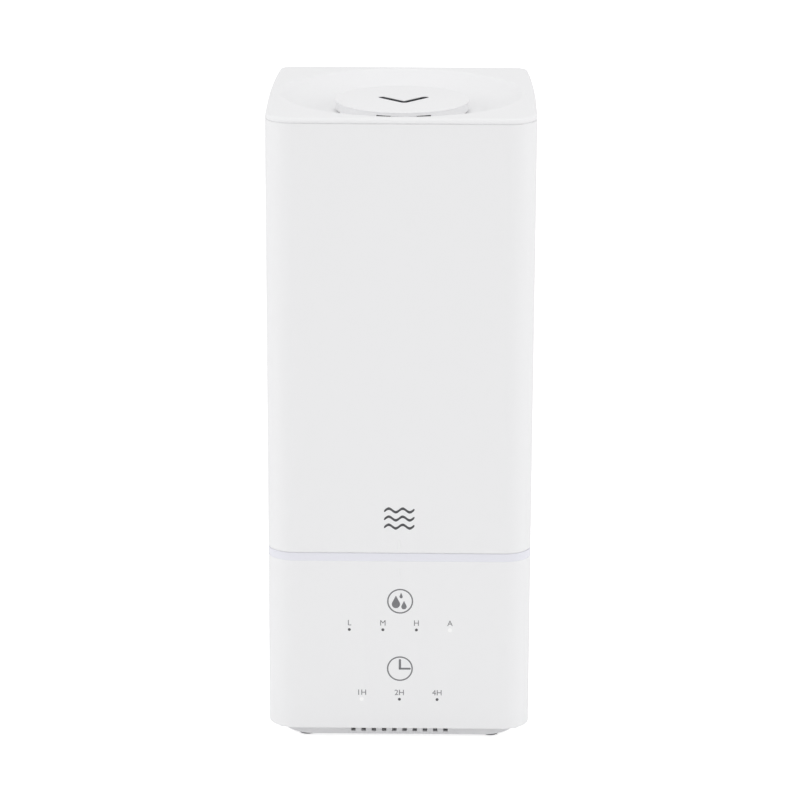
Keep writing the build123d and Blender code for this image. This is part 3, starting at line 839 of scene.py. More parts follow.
@dataclass(frozen=True)
class Board(Finish):
    """Circuit board: solder mask over raised copper tracks."""

    track: Colour = (0.07, 0.36, 0.14)
    track_depth: float = 0.03 * MM
    cloud_scale: float = 60.0

    def dress(self, graph: Graph, shader: bpy.types.Node) -> None:
        """See Finish."""
        place = graph.node("TexCoord").outputs["Object"]
        cells = graph.node("TexBrick", {"Vector": place, "Scale": 90.0, "Mortar Size": 0.012,
                                        "Mortar Smooth": 0.1}, offset=0.35, squash=1.7)
        mottle = self.effect(graph, Effect.MOTTLE, Scale=self.cloud_scale)
        mask_coat = self.shade(graph, mottle.outputs["Mask"], self.tone)
        mix = graph.node("Mix", {"Factor": cells.outputs["Fac"]}, data_type="RGBA")
        graph.feed(mix.inputs[6], mask_coat)
        graph.feed(mix.inputs[7], (*self.track, 1.0))
        graph.feed(shader.inputs["Base Color"], mix.outputs[2])
        rough = graph.spread(mottle.outputs["Mask"], self.roughness - 0.03, self.roughness + 0.05)
        graph.feed(shader.inputs["Roughness"], rough)
        self.bump(graph, shader, cells.outputs["Fac"], self.track_depth)


@dataclass(frozen=True)
class Lamp(Finish):
    """A lit light guide: it glows evenly, with faint fine clouds."""

    glow: float = 1.6
    cloud_scale: float = 900.0
    cloud_tone: float = 0.05

    def dress(self, graph: Graph, shader: bpy.types.Node) -> None:
        """See Finish."""
        super().dress(graph, shader)
        mottle = self.effect(graph, Effect.MOTTLE, Scale=self.cloud_scale)
        graph.feed(shader.inputs["Emission Color"], self.shade(graph, mottle.outputs["Mask"], self.cloud_tone))
        shader.inputs["Emission Strength"].default_value = self.glow


class Paint:
    """Every finish of the humidifier, by the record's slot names and by use."""

    BODY = Plastic("body_white", (0.92, 0.92, 0.921), roughness=0.42, tone=0.006, wear=0.15, depth_glow=0.05)
    # cover_white: the bottom cover is white plastic, given a grey colour that is painted shade from standing
    # under the base.
    COVER_SHADE = Plastic("cover_white", (0.70, 0.70, 0.705), roughness=0.5, tone=0.02, wear=0.2)
    # ring_tint: the violet tint is the ring's own, its darker grey is painted shade of the joint between tank
    # and base.
    RING_TINT_AND_SHADE = Plastic("ring_tint", (0.78, 0.78, 0.83), roughness=0.3, tone=0.01, wear=0.1, depth_glow=0.25,
                   grain_depth=0.004 * MM)
    # outlet_dark: near-black plastic in the V and behind the mouth, painted shade standing in for the deep
    # shade inside the slots.
    OUTLET_SHADE = Plastic("outlet_dark", (0.07, 0.07, 0.072), roughness=0.5, tone=0.15, wear=0.3,
                     wear_colour=(0.12, 0.12, 0.12))
    INNER = Plastic("inner_white", (0.84, 0.845, 0.85), roughness=0.3, tone=0.012, wear=0.1,
                    grain_depth=0.005 * MM, depth_glow=0.1)
    FLOAT = Plastic("float_plastic", (0.45, 0.62, 0.76), roughness=0.35, tone=0.03, wear=0.3, depth_glow=0.1)
    SILICONE = Plastic("silicone", (0.70, 0.71, 0.72), roughness=0.55, tone=0.03, wear=0.1, depth_glow=0.4,
                       grain_depth=0.006 * MM)
    FOOT = Plastic("foot_rubber", (0.17, 0.17, 0.173), roughness=0.8, tone=0.15, wear=0.6,
                   wear_colour=(0.32, 0.32, 0.32), grain_depth=0.03 * MM, grain_scale=1500.0)
    DISC = Metal("disc_silver", (0.80, 0.76, 0.68), roughness=0.3, tone=0.06)
    STEEL = Metal("steel", (0.66, 0.66, 0.68), roughness=0.3, tone=0.06)
    GREEN = Board("board_green", (0.015, 0.16, 0.055), roughness=0.25, tone=0.1)
    BLACK = Plastic("black_plastic", (0.022, 0.022, 0.024), roughness=0.45, tone=0.2, wear=0.4,
                    wear_colour=(0.10, 0.10, 0.10))
    DUCT = Plastic("duct_plastic", (0.36, 0.37, 0.39), roughness=0.5, tone=0.03, wear=0.3,
                   wear_colour=(0.55, 0.55, 0.56))
    SINK = Metal("sink_alloy", (0.74, 0.75, 0.77), roughness=0.35, tone=0.04)
    COPPER = Metal("coil_copper", (0.66, 0.27, 0.10), roughness=0.28, tone=0.1, lines=0.03 * MM)
    MAGNET = Plastic("magnet_grey", (0.07, 0.07, 0.075), roughness=0.5, tone=0.2, wear=0.5)
    RESIN = Lamp("led_resin", (0.85, 0.80, 0.52), roughness=0.2, tone=0.04, glow=0.1)
    LIT = Lamp("lens_lit", (1.0, 1.0, 1.0), roughness=0.25, tone=0.0, glow=1.6)
    DARK = Plastic("lens_dark", (0.035, 0.035, 0.037), roughness=0.3, tone=0.1, wear=0.0)
    CABLE = Plastic("cable_jacket", (0.03, 0.03, 0.032), roughness=0.6, tone=0.2, wear=0.2,
                    grain_depth=0.02 * MM)
    INK = Finish("print_grey", (0.19, 0.19, 0.20), roughness=0.55, tone=0.06, grain_depth=0.004 * MM,
                 mottle_scale=400.0)
    EMBLEM = Finish("print_dark", (0.07, 0.07, 0.075), roughness=0.5, tone=0.08, grain_depth=0.004 * MM,
                    mottle_scale=400.0)
    FLOOR = Finish("studio_floor", (0.93, 0.93, 0.93), roughness=0.8, tone=0.004, grain_depth=0.02 * MM,
                   grain_scale=900.0, mottle_scale=3.0)

    @classmethod
    def by_slot(cls) -> dict[str, Finish]:
        """The finishes by their names, which are the record's slots."""
        found = [value for value in vars(cls).values() if isinstance(value, Finish)]
        return {finish.name: finish for finish in found}


def dress(piece: bpy.types.Object, finish: Finish) -> None:
    """Gives a piece one finish all over.

    Args:
        piece: The object.
        finish: Its finish.
    """
    if not piece.material_slots:
        piece.data.materials.append(finish.material())
    for place in piece.material_slots:
        place.material = finish.material()


def settle(piece: bpy.types.Object, body: str, finish: Finish, replaces: Sequence[str] = ()) -> None:
    """Dresses a finished piece, ties it to its body and reports it.

    Args:
        piece: The object.
        body: The body it moves with.
        finish: Its finish.
        replaces: CAD nodes that it stands for.
    """
    dress(piece, finish)
    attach(piece, body)
    if replaces:
        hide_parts(*replaces)
    log.info("%s rides on %s in %s", piece.name, body, finish.name)


# ---------------------------------------------------------------- the shells
@dataclass
class BodyShell:
    """Sizes that the base, ring, tank and lid share."""

    wall: float = 2.5 * MM
    tank_draft: float = 1.0 * MM
    base_draft: float = 1.3 * MM
    outline: BodyOutline = field(default_factory=lambda: BodyOutline((CAD_BOX[1][0] - CAD_BOX[0][0]) / 2))

    def front(self, z: float) -> float:
        """The y of the base's front wall at height z."""
        low, high = box_of("base_housing")[0][2], box_of("base_housing")[1][2]
        share = (z - low) / (high - low)
        inset = self.base_draft + (self.tank_draft - self.base_draft) * share
        return -(self.outline.half - inset)

    def tank_front(self, z: float) -> float:
        """The y of the tank's front wall at height z."""
        low, high = box_of("tank_shell")[0][2], box_of("tank_shell")[1][2]
        return -(self.outline.half - self.tank_draft * (high - z) / (high - low))


@dataclass
class TankShell(BodyShell):
    """The tall tank wall with its lips and its locating mark."""

    edge: float = 0.45 * MM
    lip: float = 0.7 * MM
    seat_rise: float = 0.45 * MM
    rim_drop: float = 0.55 * MM
    mark: Step = (126.7 * MM, 133.2 * MM)

    def build(self) -> None:
        """Models and dresses the tank's wall."""
        low, high = box_of("tank_shell")[0][2], box_of("tank_shell")[1][2]
        seat, rim = low + self.seat_rise, high - self.rim_drop
        e, w, d = self.edge, self.wall, self.tank_draft
        steps = [(d, seat + e), (0.0, rim - e), (0.13 * e, rim - 0.5 * e), (0.5 * e, rim - 0.13 * e), (e, rim),
                 (self.lip, rim), (self.lip, high), (w, high), (d + w, low), (d + self.lip, low),
                 (d + self.lip, seat), (d + e, seat), (d + 0.5 * e, seat + 0.13 * e),
                 (d + 0.13 * e, seat + 0.5 * e)]
        wall = LoopBuilder("tank_wall", self.outline, steps[0]).run(steps[1:]).close().done()
        settle(wall, "tank", Paint.BODY, ["tank_shell"])
        settle(locating_mark("tank_mark", self.tank_front, *self.mark), "tank", Paint.BODY)


def locating_mark(name: str, front: Callable[[float], float], low: float, high: float) -> bpy.types.Object:
    """A small raised bar with round ends that shows how the tank sits on the base.

    Args:
        name: The piece's name.
        front: Gives the wall's y at a height.
        low: The bar's lower end.
        high: Its upper end.

    Returns:
        The bar.
    """
    radius, proud = 0.65 * MM, 0.25 * MM
    outline = SlotOutline((0, low + radius), (0, high - radius), radius, facets=10)
    steps = [(0, -MM), (0, proud * 0.5), (0.08 * MM, proud * 0.85), (0.2 * MM, proud)]
    bar = column(name, outline, steps)
    for vert in bar.data.vertices:
        x, z, out = vert.co
        vert.co = (x, front(z) - out, z)
    return bar


@dataclass
class BaseShell(BodyShell):
    """The base's wall with its holes, and the violet-grey ring on top of it, darkened with painted shade."""

    hole_r: float = 0.95 * MM
    foot_r: float = 1.1 * MM
    seam: float = 0.12 * MM
    ring_edge: float = 0.3 * MM
    mark: Step = (109.2 * MM, 115.0 * MM)
    jack_window: tuple[float, float, float] = (6 * MM, 5 * MM, 1.2 * MM)
    slot_window: tuple[float, float, float] = (0.8 * MM, 6 * MM, 0.75 * MM)
    slots: int = 4
    slot_pitch: float = 4 * MM
    slot_z: float = 60 * MM
    ledge_rise: float = 35.1 * MM
    ledge_thick: float = 2.5 * MM
    ledge_reach: float = 4 * MM
    cutter_span: Step = (76 * MM, 84 * MM)

    def build(self) -> None:
        """Models and dresses the wall, the ring and the mark."""
        self.build_wall()
        self.build_ring()
        settle(locating_mark("base_mark", self.front, *self.mark), "base", Paint.BODY)

    def build_wall(self) -> None:
        """The wall, with holes for the lenses, the inlet and the sensor, and its ledge."""
        low, high = box_of("base_housing")[0][2], box_of("base_housing")[1][2]
        b, t, w, r = self.base_draft, self.tank_draft, self.wall, self.foot_r
        steps = [(b, low + 1.0 * MM), (t, high - self.seam), (t + self.seam, high), (t + w, high), (b + w, low),
                 (b + r, low)]
        steps += arc_steps((b + r, low + r), r, 255, 195, 4)
        wall = LoopBuilder("base_wall", self.outline, steps[0]).run(steps[1:]).close().done()
        carve(wall, self.cutters())
        tidy_mesh(wall)
        smooth(wall)
        settle(wall, "base", Paint.BODY, ["base_housing"])
        settle(self.ledge(), "base", Paint.BODY)

    def cutters(self) -> list[bpy.types.Object]:
        """One joined cutter for every hole in the wall."""
        made = [self.pin(x, z) for node in ("lit_lenses", "dark_lenses") for x, z in lens_places(node)]
        jack, sensor = box_of("power_inlet"), box_of("humidity_sensor")
        jack_x, jack_z = (jack[0][0] + jack[1][0]) / 2, (jack[0][2] + jack[1][2]) / 2
        made.append(self.window(jack_x, jack_z, *self.jack_window))
        middle = (sensor[0][0] + sensor[1][0]) / 2
        for i in range(self.slots):
            x = middle + (i - (self.slots - 1) / 2) * self.slot_pitch
            made.append(self.window(x, self.slot_z, *self.slot_window))
        return [join(made, "cutters")]

    def pin(self, x: float, z: float) -> bpy.types.Object:
        """A cutter through the front wall."""
        near, far = self.cutter_span
        cutter = turned("pin", [(self.hole_r, near), (self.hole_r, far)], 32, closed=False)
        face_front(cutter, x, z)
        return cutter

    def window(self, x: float, z: float, half_x: float, half_z: float, corner: float) -> bpy.types.Object:
        """A cutter through the back wall."""
        near, far = self.cutter_span
        cutter = column("window", BoxOutline(half_x, half_z, corner, facets=6), [(0, -far), (0, -near)])
        face_front(cutter, x, z)
        return cutter

    def ledge(self) -> bpy.types.Object:
        """The ledge inside the wall that carries the basin's deck."""
        top = box_of("basin")[0][2] + self.ledge_rise
        low = top - self.ledge_thick
        near = self.tank_draft + self.wall - 0.05 * MM
        far = near + self.ledge_reach
        steps = [(near, low), (near, top), (far, top), (far, low)]
        return LoopBuilder("base_ledge", self.outline, steps[0]).run(steps[1:]).close().done()

    def build_ring(self) -> None:
        """The violet-grey ring between base and tank; its darker tone is painted shade of the joint."""
        low, high = box_of("trim_ring")[0][2], box_of("trim_ring")[1][2]
        t, w, e, seam = self.tank_draft, self.wall, self.ring_edge, self.seam
        steps = [(t, low + seam), (t, high - e), (t + 0.3 * e, high - 0.3 * e), (t + e, high), (t + w, high),
                 (t + w, low), (t + seam, low)]
        ring = LoopBuilder("pale_ring", self.outline, steps[0]).run(steps[1:]).close().done()
        # The ring's darker grey carries painted shade of the joint between tank and base.
        settle(ring, "base", Paint.RING_TINT_AND_SHADE, ["trim_ring"])


def lens_places(node: str) -> list[Point]:
    """The x and z of each lens in a node, found from its separate solids.

    Args:
        node: The node's name.

    Returns:
        One place for each lens, from left to right.
    """
    reach = 3 * MM
    verts = [vert.co for vert in frame["nodes"][node].data.vertices]
    places: list[Point] = []
    for vert in verts:
        if not any(math.hypot(vert.x - x, vert.z - z) < reach for x, z in places):
            group = [v for v in verts if math.hypot(v.x - vert.x, v.z - vert.z) < reach]
            xs, zs = [v.x for v in group], [v.z for v in group]
            places.append(((min(xs) + max(xs)) / 2, (min(zs) + max(zs)) / 2))
    return sorted(places)


@dataclass
class LidShell(BodyShell):
    """The lid: a thin plate with a rounded edge round a turned bowl."""

    bowl_r: float = 74.3 * MM
    flat_r: float = 44.0 * MM
    floor: float = 386.0 * MM
    thick: float = 2.2 * MM
    depth: float = 2.7 * MM
    rim_r: float = 5.0 * MM
    edge_r: float = 2.3 * MM
    low_chamfer: float = 0.4 * MM
    plate_in: Step = (4 * MM, 5 * MM)
    port_r: float = 4.2 * MM
    port_ring: float = 31 * MM
    ports: int = 8
    skirt_in: Step = (3.0 * MM, 5.2 * MM)
    skirt_low: float = 387.5 * MM
    socket_r: Step = (18.6 * MM, 21.0 * MM)
    socket_low: float = 371.5 * MM
    seat_r: float = 17.2 * MM
    seat_z: float = 373.0 * MM

    def build(self) -> None:
        """Models and dresses the lid with its skirt and socket."""
        top = box_of("lid")[1][2]
        low = top - self.depth
        lid = join([self.plate(low, top), self.bowl(low, top)], "lid_plate")
        self.fill_ring(lid, top)
        self.fill_ring(lid, low)
        tidy_mesh(lid)
        self.cut_ports(lid)
        smooth(lid, 30)
        settle(lid, "lid", Paint.BODY, ["lid"])
        self.build_skirt(low)
        self.build_socket()

    def plate(self, low: float, top: float) -> bpy.types.Object:
        """The plate's outer edge, open towards the bowl."""
        e, c = self.edge_r, self.low_chamfer
        steps = [(self.plate_in[0], low), (0.875 * c, low), (0.25 * c, low + 0.25 * c), (0.0, low + c)]
        steps += arc_steps((e, top - e), e, 180, 90, 8) + [(self.plate_in[1], top)]
        return LoopBuilder("plate", self.outline, steps[0]).run(steps[1:]).done()

    def bowl(self, low: float, top: float) -> bpy.types.Object:
        """The turned dish with its rounded rim, its flat floor and the hole for the nozzle's stem."""
        rise, run = top - self.floor, self.bowl_r - self.flat_r
        radius = (run ** 2 + rise ** 2) / (2 * rise)
        centre = (self.flat_r, self.floor + radius)
        drop = centre[1] - top + self.rim_r
        open_r = self.flat_r + math.sqrt((radius + self.rim_r) ** 2 - drop ** 2)
        start = -math.degrees(math.atan2(drop, open_r - self.flat_r))
        last = math.degrees(math.asin((low - centre[1]) / (radius + self.thick)))
        flange = open_r + 0.8 * MM
        steps = [(flange, top)]
        steps += arc_steps((open_r, top - self.rim_r), self.rim_r, 90, 180 + start, 10)
        steps += arc_steps(centre, radius, start, -90, 24)[1:]
        steps += [(self.socket_r[0], self.floor), (self.socket_r[0], self.floor - self.thick)]
        steps += arc_steps(centre, radius + self.thick, -90, last, 24) + [(flange, low)]
        laid = [(flange - r, z) for r, z in steps]
        outline = RoundOutline(flange, len(self.outline.points()))
        return LoopBuilder("bowl", outline, laid[0]).run(laid[1:]).done()

    def fill_ring(self, lid: bpy.types.Object, z: float) -> None:
        """Fills the flat ring between the plate and the bowl at one height.

        Args:
            lid: The joined mesh.
            z: The height of the two open loops.
        """
        work = bmesh.new()
        work.from_mesh(lid.data)
        loops = [edge for edge in work.edges
                 if edge.is_boundary and all(abs(vert.co.z - z) < TINY for vert in edge.verts)]
        bmesh.ops.triangle_fill(work, edges=loops, use_beauty=True, use_dissolve=False)
        work.to_mesh(lid.data)
        work.free()

    def cut_ports(self, lid: bpy.types.Object) -> None:
        """Cuts the filling ports under the nozzle."""
        ports = []
        for i in range(self.ports):
            turn = 2 * math.pi * (i + 0.5) / self.ports
            centre = (self.port_ring * math.cos(turn), self.port_ring * math.sin(turn))
            steps = [(self.port_r, self.floor - 6 * MM), (self.port_r, self.floor + 4 * MM)]
            ports.append(turned("port", steps, 32, centre=centre, closed=False))
        carve(lid, [join(ports, "ports")])

    def build_skirt(self, low: float) -> None:
        """The skirt that enters the tank."""
        (near, far), foot, top = self.skirt_in, self.skirt_low, low + 0.2 * MM
        edge = 0.3 * MM
        steps = [(near, foot + edge), (near, top), (far, top), (far, foot), (near + edge, foot)]
        ring = LoopBuilder("lid_skirt", self.outline, steps[0]).run(steps[1:]).close().done()
        settle(ring, "lid", Paint.BODY)

    def build_socket(self) -> None:
        """The socket that the nozzle's stem turns in."""
        (inner, outer), foot, top = self.socket_r, self.socket_low, self.floor + 0.5 * MM
        edge = 0.3 * MM
        steps = [(outer, foot + edge), (outer, top), (inner, top), (inner, self.seat_z),
                 (self.seat_r, self.seat_z), (self.seat_r, foot), (outer - edge, foot)]
        settle(turned("lid_socket", steps), "lid", Paint.BODY)


@dataclass
class Nozzle:
    """The round outlet: a lipped disc with a V outlet, a mouth in its skirt, a wall that parts the mist, and a
    near-black lining in the V that is painted shade.
    """

    disc_r: float = 41.6 * MM
    skirt_r: float = 41.0 * MM
    skirt_in: float = 36.6 * MM
    lip: float = 1.0 * MM
    edge: float = 0.48 * MM
    mouth_half: float = 16.75 * MM
    mouth_top: float = 391.4 * MM
    v_mid: float = 0.9 * MM
    v_half: float = 13.2 * MM
    v_tip: float = 5.8 * MM
    v_apex: float = -9.1 * MM
    stroke_r: float = 2.5 * MM
    # Sizes of the V's near-black lining, a sheet of painted shade inside the slot.
    flare: float = 0.3 * MM
    shade_lining_drop: float = 0.6 * MM
    shade_lining_bite: float = 0.05 * MM
    shade_lining_in: float = 0.25 * MM
    split_r: float = 9.0 * MM
    split_y: float = -31.1 * MM
    split_thick: float = 1.4 * MM
    split_low: float = 388.2 * MM
    turn: float = 2.0

    def build(self) -> None:
        """Models and dresses the cap, and the near-black lining of its V, which is painted shade of the slot's
        inside.
        """
        low, top = box_of("nozzle_cap")[0][2], box_of("nozzle_cap")[1][2]
        e = self.edge
        under = top - self.lip
        steps = [(self.skirt_in, self.mouth_top), (self.skirt_in, low), (self.skirt_r - 0.3 * MM, low),
                 (self.skirt_r, low + 0.3 * MM), (self.skirt_r, under), (self.disc_r - e, under)]
        steps += arc_steps((self.disc_r - e, under + e), e, -72, 0, 4)
        steps += arc_steps((self.disc_r - e, top - e), e, 0, 90, 5)
        cap = turned("mist_cap", steps, 160, 30, closed=False)
        opening = self.flared(top)
        carve(cap, [self.arm(-1, opening), self.arm(1, opening), self.mouth(low)])
        self.finish(join([cap, self.splitter()], "mist_cap"))
        settle(cap, "nozzle", Paint.BODY, ["nozzle_cap"])
        # The V's near-black lining is painted shade: it stands in for the shade deep inside the slot.
        shade_lining = self.shade_lining(top - self.shade_lining_drop)
        self.finish(shade_lining)
        settle(shade_lining, "nozzle", Paint.OUTLET_SHADE)

    def finish(self, piece: bpy.types.Object) -> None:
        """Turns a piece to where the nozzle stands, and cleans and shades it."""
        piece.rotation_euler = (0, 0, math.radians(self.turn))
        apply_place(piece)
        tidy_mesh(piece)
        smooth(piece, 30)

    def arm(self, side: int, steps: Sequence[Step]) -> bpy.types.Object:
        """One arm of the V as a solid.

        Args:
            side: -1 for the left arm, 1 for the right one.
            steps: Insets and heights.

        Returns:
            The solid.
        """
        start = (self.v_mid, self.v_apex)
        end = (self.v_mid + side * self.v_half, self.v_tip)
        return column("arm", SlotOutline(start, end, self.stroke_r, facets=16), steps)

    def flared(self, top: float) -> list[Step]:
        """The steps of the V's cutter, which is wider at the top."""
        out = self.flare
        return [(0, self.mouth_top - 6.4 * MM), (0, top - out), (-0.1 * out, top - 0.6 * out),
                (-0.4 * out, top - 0.2 * out), (-out, top), (-out, top + MM)]

    def shade_lining(self, high: float) -> bpy.types.Object:
        """The near-black lining of the V, up to a height: painted shade that stands in for the shade inside the
        slot.
        """
        low = self.mouth_top
        outer = [(-self.shade_lining_bite, low), (-self.shade_lining_bite, high)]
        inner = [(self.shade_lining_in, low - MM), (self.shade_lining_in, high + MM)]
        shade_lining, other = self.arm(-1, outer), self.arm(1, outer)
        apply_modifier(shade_lining, "BOOLEAN", operation="UNION", solver="EXACT", object=other)
        bpy.data.objects.remove(other)
        carve(shade_lining, [self.arm(-1, inner), self.arm(1, inner)])
        shade_lining.name = "outlet_shade_lining"
        return shade_lining

    def mouth(self, low: float) -> bpy.types.Object:
        """The mouth's cutter."""
        outline = BoxOutline(self.mouth_half, 10 * MM, 0.6 * MM, facets=4, centre=(0, -40 * MM))
        return column("mouth", outline, [(0, low - MM), (0, self.mouth_top)])

    def splitter(self) -> bpy.types.Object:
        """The curved wall behind the mouth: the front arc of a ring."""
        low, high = self.split_low, self.mouth_top + 0.5 * MM
        outer, inner = self.split_r, self.split_r - self.split_thick
        wall = turned("splitter", [(outer, low), (outer, high), (inner, high), (inner, low)], 72,
                      centre=(0, self.split_y))
        behind = BoxOutline(30 * MM, 15 * MM, MM, facets=2, centre=(0, self.split_y + 11 * MM))
        carve(wall, [column("behind", behind, [(0, low - MM), (0, high + MM)])])
        return wall


@dataclass
class Feet:
    """The four rubber pads."""

    radius: float = 5.6 * MM
    profile: tuple[Step, ...] = (                # millimetres in from the radius and up from the floor
        (0.0, 0.9), (0.15, 0.4), (0.45, 0.12), (0.9, 0.0), (1.9, 0.0), (2.1, 0.5), (2.7, 0.5), (2.9, 0.0))

    def build(self) -> None:
        """Models a pad with a rounded edge and a grip groove in each corner."""
        low, high = box_of("rubber_feet")
        cx, cy = high[0] - self.radius, high[1] - self.radius
        steps = [(self.radius, high[2])]
        steps += [(self.radius - inset * MM, low[2] + rise * MM) for inset, rise in self.profile]
        pads = [turned("pad", steps, 48, 40, (sx * cx, sy * cy), closed=False)
                for sx in (-1, 1) for sy in (-1, 1)]
        settle(join(pads, "foot_pads"), "base", Paint.FOOT, ["rubber_feet"])


# ---------------------------------------------------------------- printed marks
@dataclass
class FrontMarks:
    """Icons, legends and the emblem, printed on the front."""

    shell: BodyShell
    icon_x: float = 0.75 * MM
    mist_z: float = 93.7 * MM
    timer_z: float = 49.6 * MM
    icon_r: float = 8.05 * MM
    line: float = 0.85 * MM
    hands: tuple[Step, Step] = ((5.6 * MM, 0.7 * MM), (6.2 * MM, 0.6 * MM))
    letter: float = 3.588 * MM
    letter_rise: float = 4.3 * MM
    font_ratio: float = 1.42             # a font's size over the height of its capitals
    spot_r: float = 1.3 * MM
    wave_half: float = 8.6 * MM
    wave_rise: float = 1.15 * MM
    wave_pitch: float = 5.2 * MM
    emblem_z: float = 147.3 * MM
    ink: float = 0.03 * MM
    sunk: float = 0.2 * MM

    def lay(self, piece: bpy.types.Object, front: Callable[[float], float]) -> None:
        """Lays a flat print on a wall: its height above z 0 becomes its thickness.

        Args:
            piece: The print, already facing the front.
            front: Gives the wall's y at a height.
        """
        for vert in piece.data.vertices:
            out = self.ink if vert.co.y < 0 else -self.sunk
            vert.co.y = front(vert.co.z) - out

    def stamp(self, name: str, outline: Outline, x: float, z: float) -> bpy.types.Object:
        """A flat mark on an outline.

        Args:
            name: The mark's name.
            outline: Its shape, with its own origin.
            x: Where its origin goes.
            z: Where its origin goes.

        Returns:
            The mark.
        """
        mark = column(name, outline, [(0, -MM), (0, MM)])
        face_front(mark, x, z)
        return mark

    def ring(self, name: str, x: float, z: float) -> bpy.types.Object:
        """A circle line."""
        r, t = self.icon_r, self.line
        steps = [(r, -MM), (r, MM), (r - t, MM), (r - t, -MM)]
        ring = turned(name, steps, 96)
        face_front(ring, x, z)
        return ring

    def drop(self, x: float, z: float, radius: float, tip: float) -> bpy.types.Object:
        """A drop: a disc whose upper points are drawn up to a tip.

        Args:
            x: The disc's centre.
            z: The disc's centre.
            radius: The disc's radius.
            tip: The tip's height above the centre.

        Returns:
            The drop.
        """
        spread = math.acos(radius / tip)
        drop = column("drop", RoundOutline(radius, 64), [(0, -MM), (0, MM)])
        for vert in drop.data.vertices:
            if abs(math.atan2(vert.co.x, vert.co.y)) < spread - 0.02:
                vert.co.x, vert.co.y = 0.0, tip
        face_front(drop, x, z)
        tidy_mesh(drop)
        return drop

    def legend(self, text: str, x: float, z: float) -> bpy.types.Object:
        """A word, made a mesh and laid on the base's front.

        Args:
            text: The letters.
            x: Their middle.
            z: Their middle.

        Returns:
            The legend.
        """
        clear_selection()
        bpy.ops.object.text_add()
        words = bpy.context.object
        words.data.body = text
        words.data.size = self.letter * self.font_ratio
        words.data.align_x, words.data.align_y = "CENTER", "CENTER"
        words.data.extrude = MM
        choose(words)
        bpy.ops.object.convert(target="MESH")
        words = bpy.context.object
        face_front(words, x, z)
        tidy_mesh(words)
        return words

    def build(self) -> None:
        """Prints everything."""
        self.build_lit_caps()
        self.build_mist_icon()
        self.build_timer_icon()
        self.build_legends()
        self.build_emblem()

    def build_lit_caps(self) -> None:
        """The bright spots that the two lit lamps make in the wall around them."""
        spots = [self.stamp("lit_cap", RoundOutline(self.spot_r, 32), x, z)
                 for x, z in lens_places("lit_lenses")]
        caps = join(spots, "lit_caps")
        self.lay(caps, self.shell.front)
        settle(caps, "base", Paint.LIT)

    def build_mist_icon(self) -> None:
        """The ring with three drops."""
        x, z = self.icon_x, self.mist_z
        marks = [self.ring("mist_ring", x, z),
                 self.drop(x - 2.6 * MM, z - 1.95 * MM, 2.55 * MM, 5.6 * MM),
                 self.drop(x + 0.6 * MM, z + 2.9 * MM, 1.0 * MM, 2.7 * MM),
                 self.drop(x + 2.4 * MM, z - 3.6 * MM, 1.65 * MM, 3.9 * MM)]
        icon = join(marks, "mist_icon")
        self.lay(icon, self.shell.front)
        settle(icon, "base", Paint.INK)

    def build_timer_icon(self) -> None:
        """The ring with two clock hands."""
        x, z = self.icon_x, self.timer_z
        (up_reach, up_r), (along_reach, along_r) = self.hands
        up = SlotOutline((0, 0), (0, up_reach), up_r)
        along = SlotOutline((0, 0), (along_reach, 0), along_r)
        marks = [self.ring("timer_ring", x, z), self.stamp("hand", up, x, z), self.stamp("hand", along, x, z)]
        icon = join(marks, "timer_icon")
        self.lay(icon, self.shell.front)
        settle(icon, "base", Paint.INK)

    def build_legends(self) -> None:
        """The letters over the little lamps."""
        lamps = sorted(lens_places("lit_lenses") + lens_places("dark_lenses"), key=lambda p: (-p[1], p[0]))
        words = [self.legend(text, x, z + self.letter_rise)
                 for text, (x, z) in zip(("L", "M", "H", "A", "1H", "2H", "4H"), lamps)]
        legends = join(words, "legends")
        self.lay(legends, self.shell.front)
        settle(legends, "base", Paint.INK)

    def build_emblem(self) -> None:
        """A plain mist sign of three waves, low on the tank."""
        waves = []
        for i in range(3):
            outline = SlotOutline((-self.wave_half, 0), (self.wave_half, 0), self.line, runs=32)
            wave = column("wave", outline, [(0, -MM), (0, MM)])
            for vert in wave.data.vertices:
                vert.co.y += self.wave_rise * math.sin(vert.co.x / self.wave_half * 2 * math.pi)
            face_front(wave, 0, self.emblem_z + self.wave_pitch * (i - 1))
            waves.append(wave)
        emblem = join(waves, "mist_sign")
        self.lay(emblem, self.shell.tank_front)
        settle(emblem, "tank", Paint.EMBLEM)


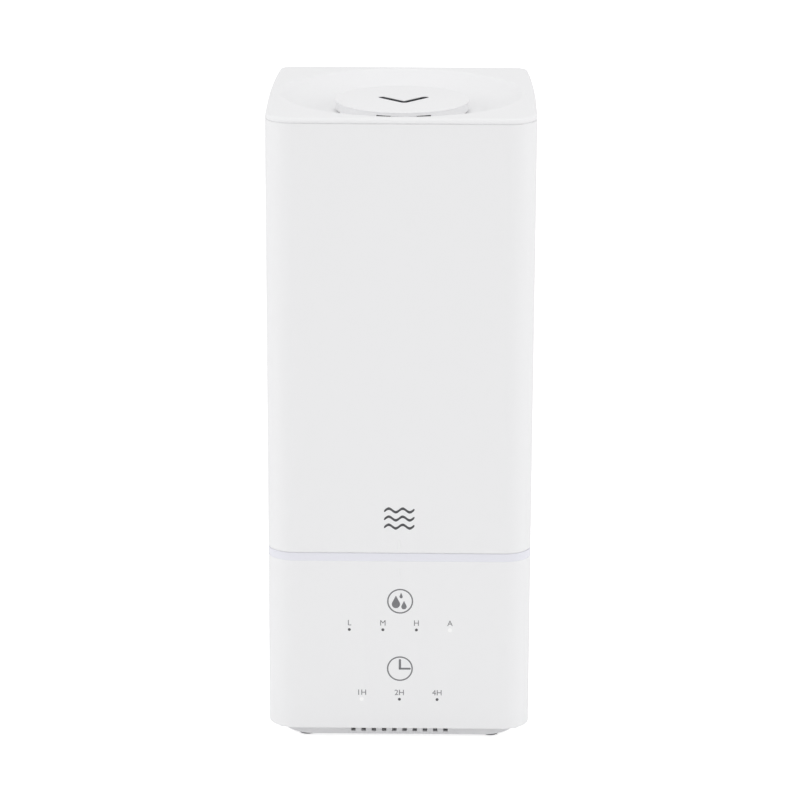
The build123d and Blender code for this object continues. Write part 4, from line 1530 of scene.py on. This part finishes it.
# ---------------------------------------------------------------- studio
@dataclass
class Studio:
    """Pale floor, soft light and the camera."""

    distance: float = 2.6975
    pitch: float = 15.477
    yaw: float = -0.688
    roll: float = 0.215
    lens: float = 192.4
    aim: Place = (-0.00078, 0.0, 0.20045)
    sky: float = 0.65
    floor_size: float = 12.0
    floor_drop: float = 0.00002
    floor_glow: Step = (0.1, 0.7)        # to the light, and to the camera

    def build(self) -> None:
        """Builds all of it."""
        self.build_floor()
        self.build_lights()
        self.build_camera()

    def build_floor(self) -> None:
        """A wide pale floor just under the feet."""
        clear_selection()
        bpy.ops.mesh.primitive_plane_add(size=self.floor_size, location=(0, 0, -self.floor_drop))
        floor = bpy.context.object
        floor.name = "studio_floor"
        apply_place(floor)
        dress(floor, Paint.FLOOR)
        graph = Graph(Paint.FLOOR.material().node_tree)
        shader = next(n for n in graph.tree.nodes if n.type == "BSDF_PRINCIPLED")
        seen = graph.spread(graph.node("LightPath").outputs["Is Camera Ray"], *self.floor_glow)
        shader.inputs["Emission Color"].default_value = (1, 1, 1, 1)
        graph.feed(shader.inputs["Emission Strength"], seen)

    def build_lights(self) -> None:
        """An even sky and four large soft panels."""
        world = bpy.data.worlds.new("studio")
        world.use_nodes = True
        sky = next(n for n in world.node_tree.nodes if n.type == "BACKGROUND")
        sky.inputs["Color"].default_value = (1, 1, 1, 1)
        sky.inputs["Strength"].default_value = self.sky
        bpy.context.scene.world = world
        self.panel("right_panel", (1.8, -0.5, 0.9), 1.5, 7.5)
        self.panel("left_panel", (-1.8, -0.5, 0.9), 1.5, 8.0)
        self.panel("front_panel", (-0.1, -2.3, 1.5), 1.6, 4.3)
        self.panel("top_panel", (0.1, 0.1, 2.2), 1.6, 9.3)

    def panel(self, name: str, place: Place, size: float, watts: float) -> None:
        """One soft panel aimed at the object.

        Args:
            name: The light's name.
            place: Where it hangs.
            size: Its side.
            watts: Its power.
        """
        light = bpy.data.lights.new(name, "AREA")
        light.shape = "SQUARE"
        light.size = size
        light.energy = watts
        made = bpy.data.objects.new(name, light)
        made.location = place
        direction = Vector(self.aim) - Vector(place)
        made.rotation_euler = direction.to_track_quat("-Z", "Y").to_euler()
        bpy.context.scene.collection.objects.link(made)

    def build_camera(self) -> None:
        """The camera on its long lens."""
        data = bpy.data.cameras.new("camera")
        data.lens = self.lens
        data.clip_end = 50
        camera = bpy.data.objects.new("camera", data)
        yaw, pitch = math.radians(self.yaw), math.radians(self.pitch)
        forward = Vector((math.sin(yaw) * math.cos(pitch), math.cos(yaw) * math.cos(pitch), -math.sin(pitch)))
        camera.location = Vector(self.aim) - forward * self.distance
        camera.rotation_euler = forward.to_track_quat("-Z", "Y").to_euler()
        camera.rotation_euler.rotate_axis("Z", math.radians(self.roll))
        bpy.context.scene.collection.objects.link(camera)
        bpy.context.scene.camera = camera
        bpy.context.scene.view_settings.view_transform = "Standard"


def dress_frame() -> None:
    """Gives every CAD node the finish of its slot in the record."""
    finishes = Paint.by_slot()
    for part in frame["record"]["subparts"]:
        dress(frame["nodes"][part["node"]], finishes[part["material_slot"]])


def main() -> None:
    """Builds the humidifier's looks piece by piece."""
    logging.basicConfig(level=logging.INFO, format="%(name)s: %(message)s")
    Studio().build()
    dress_frame()
    BaseShell().build()
    TankShell().build()
    LidShell().build()
    Nozzle().build()
    Feet().build()
    FrontMarks(BodyShell()).build()


if __name__ == "__main__":
    main()
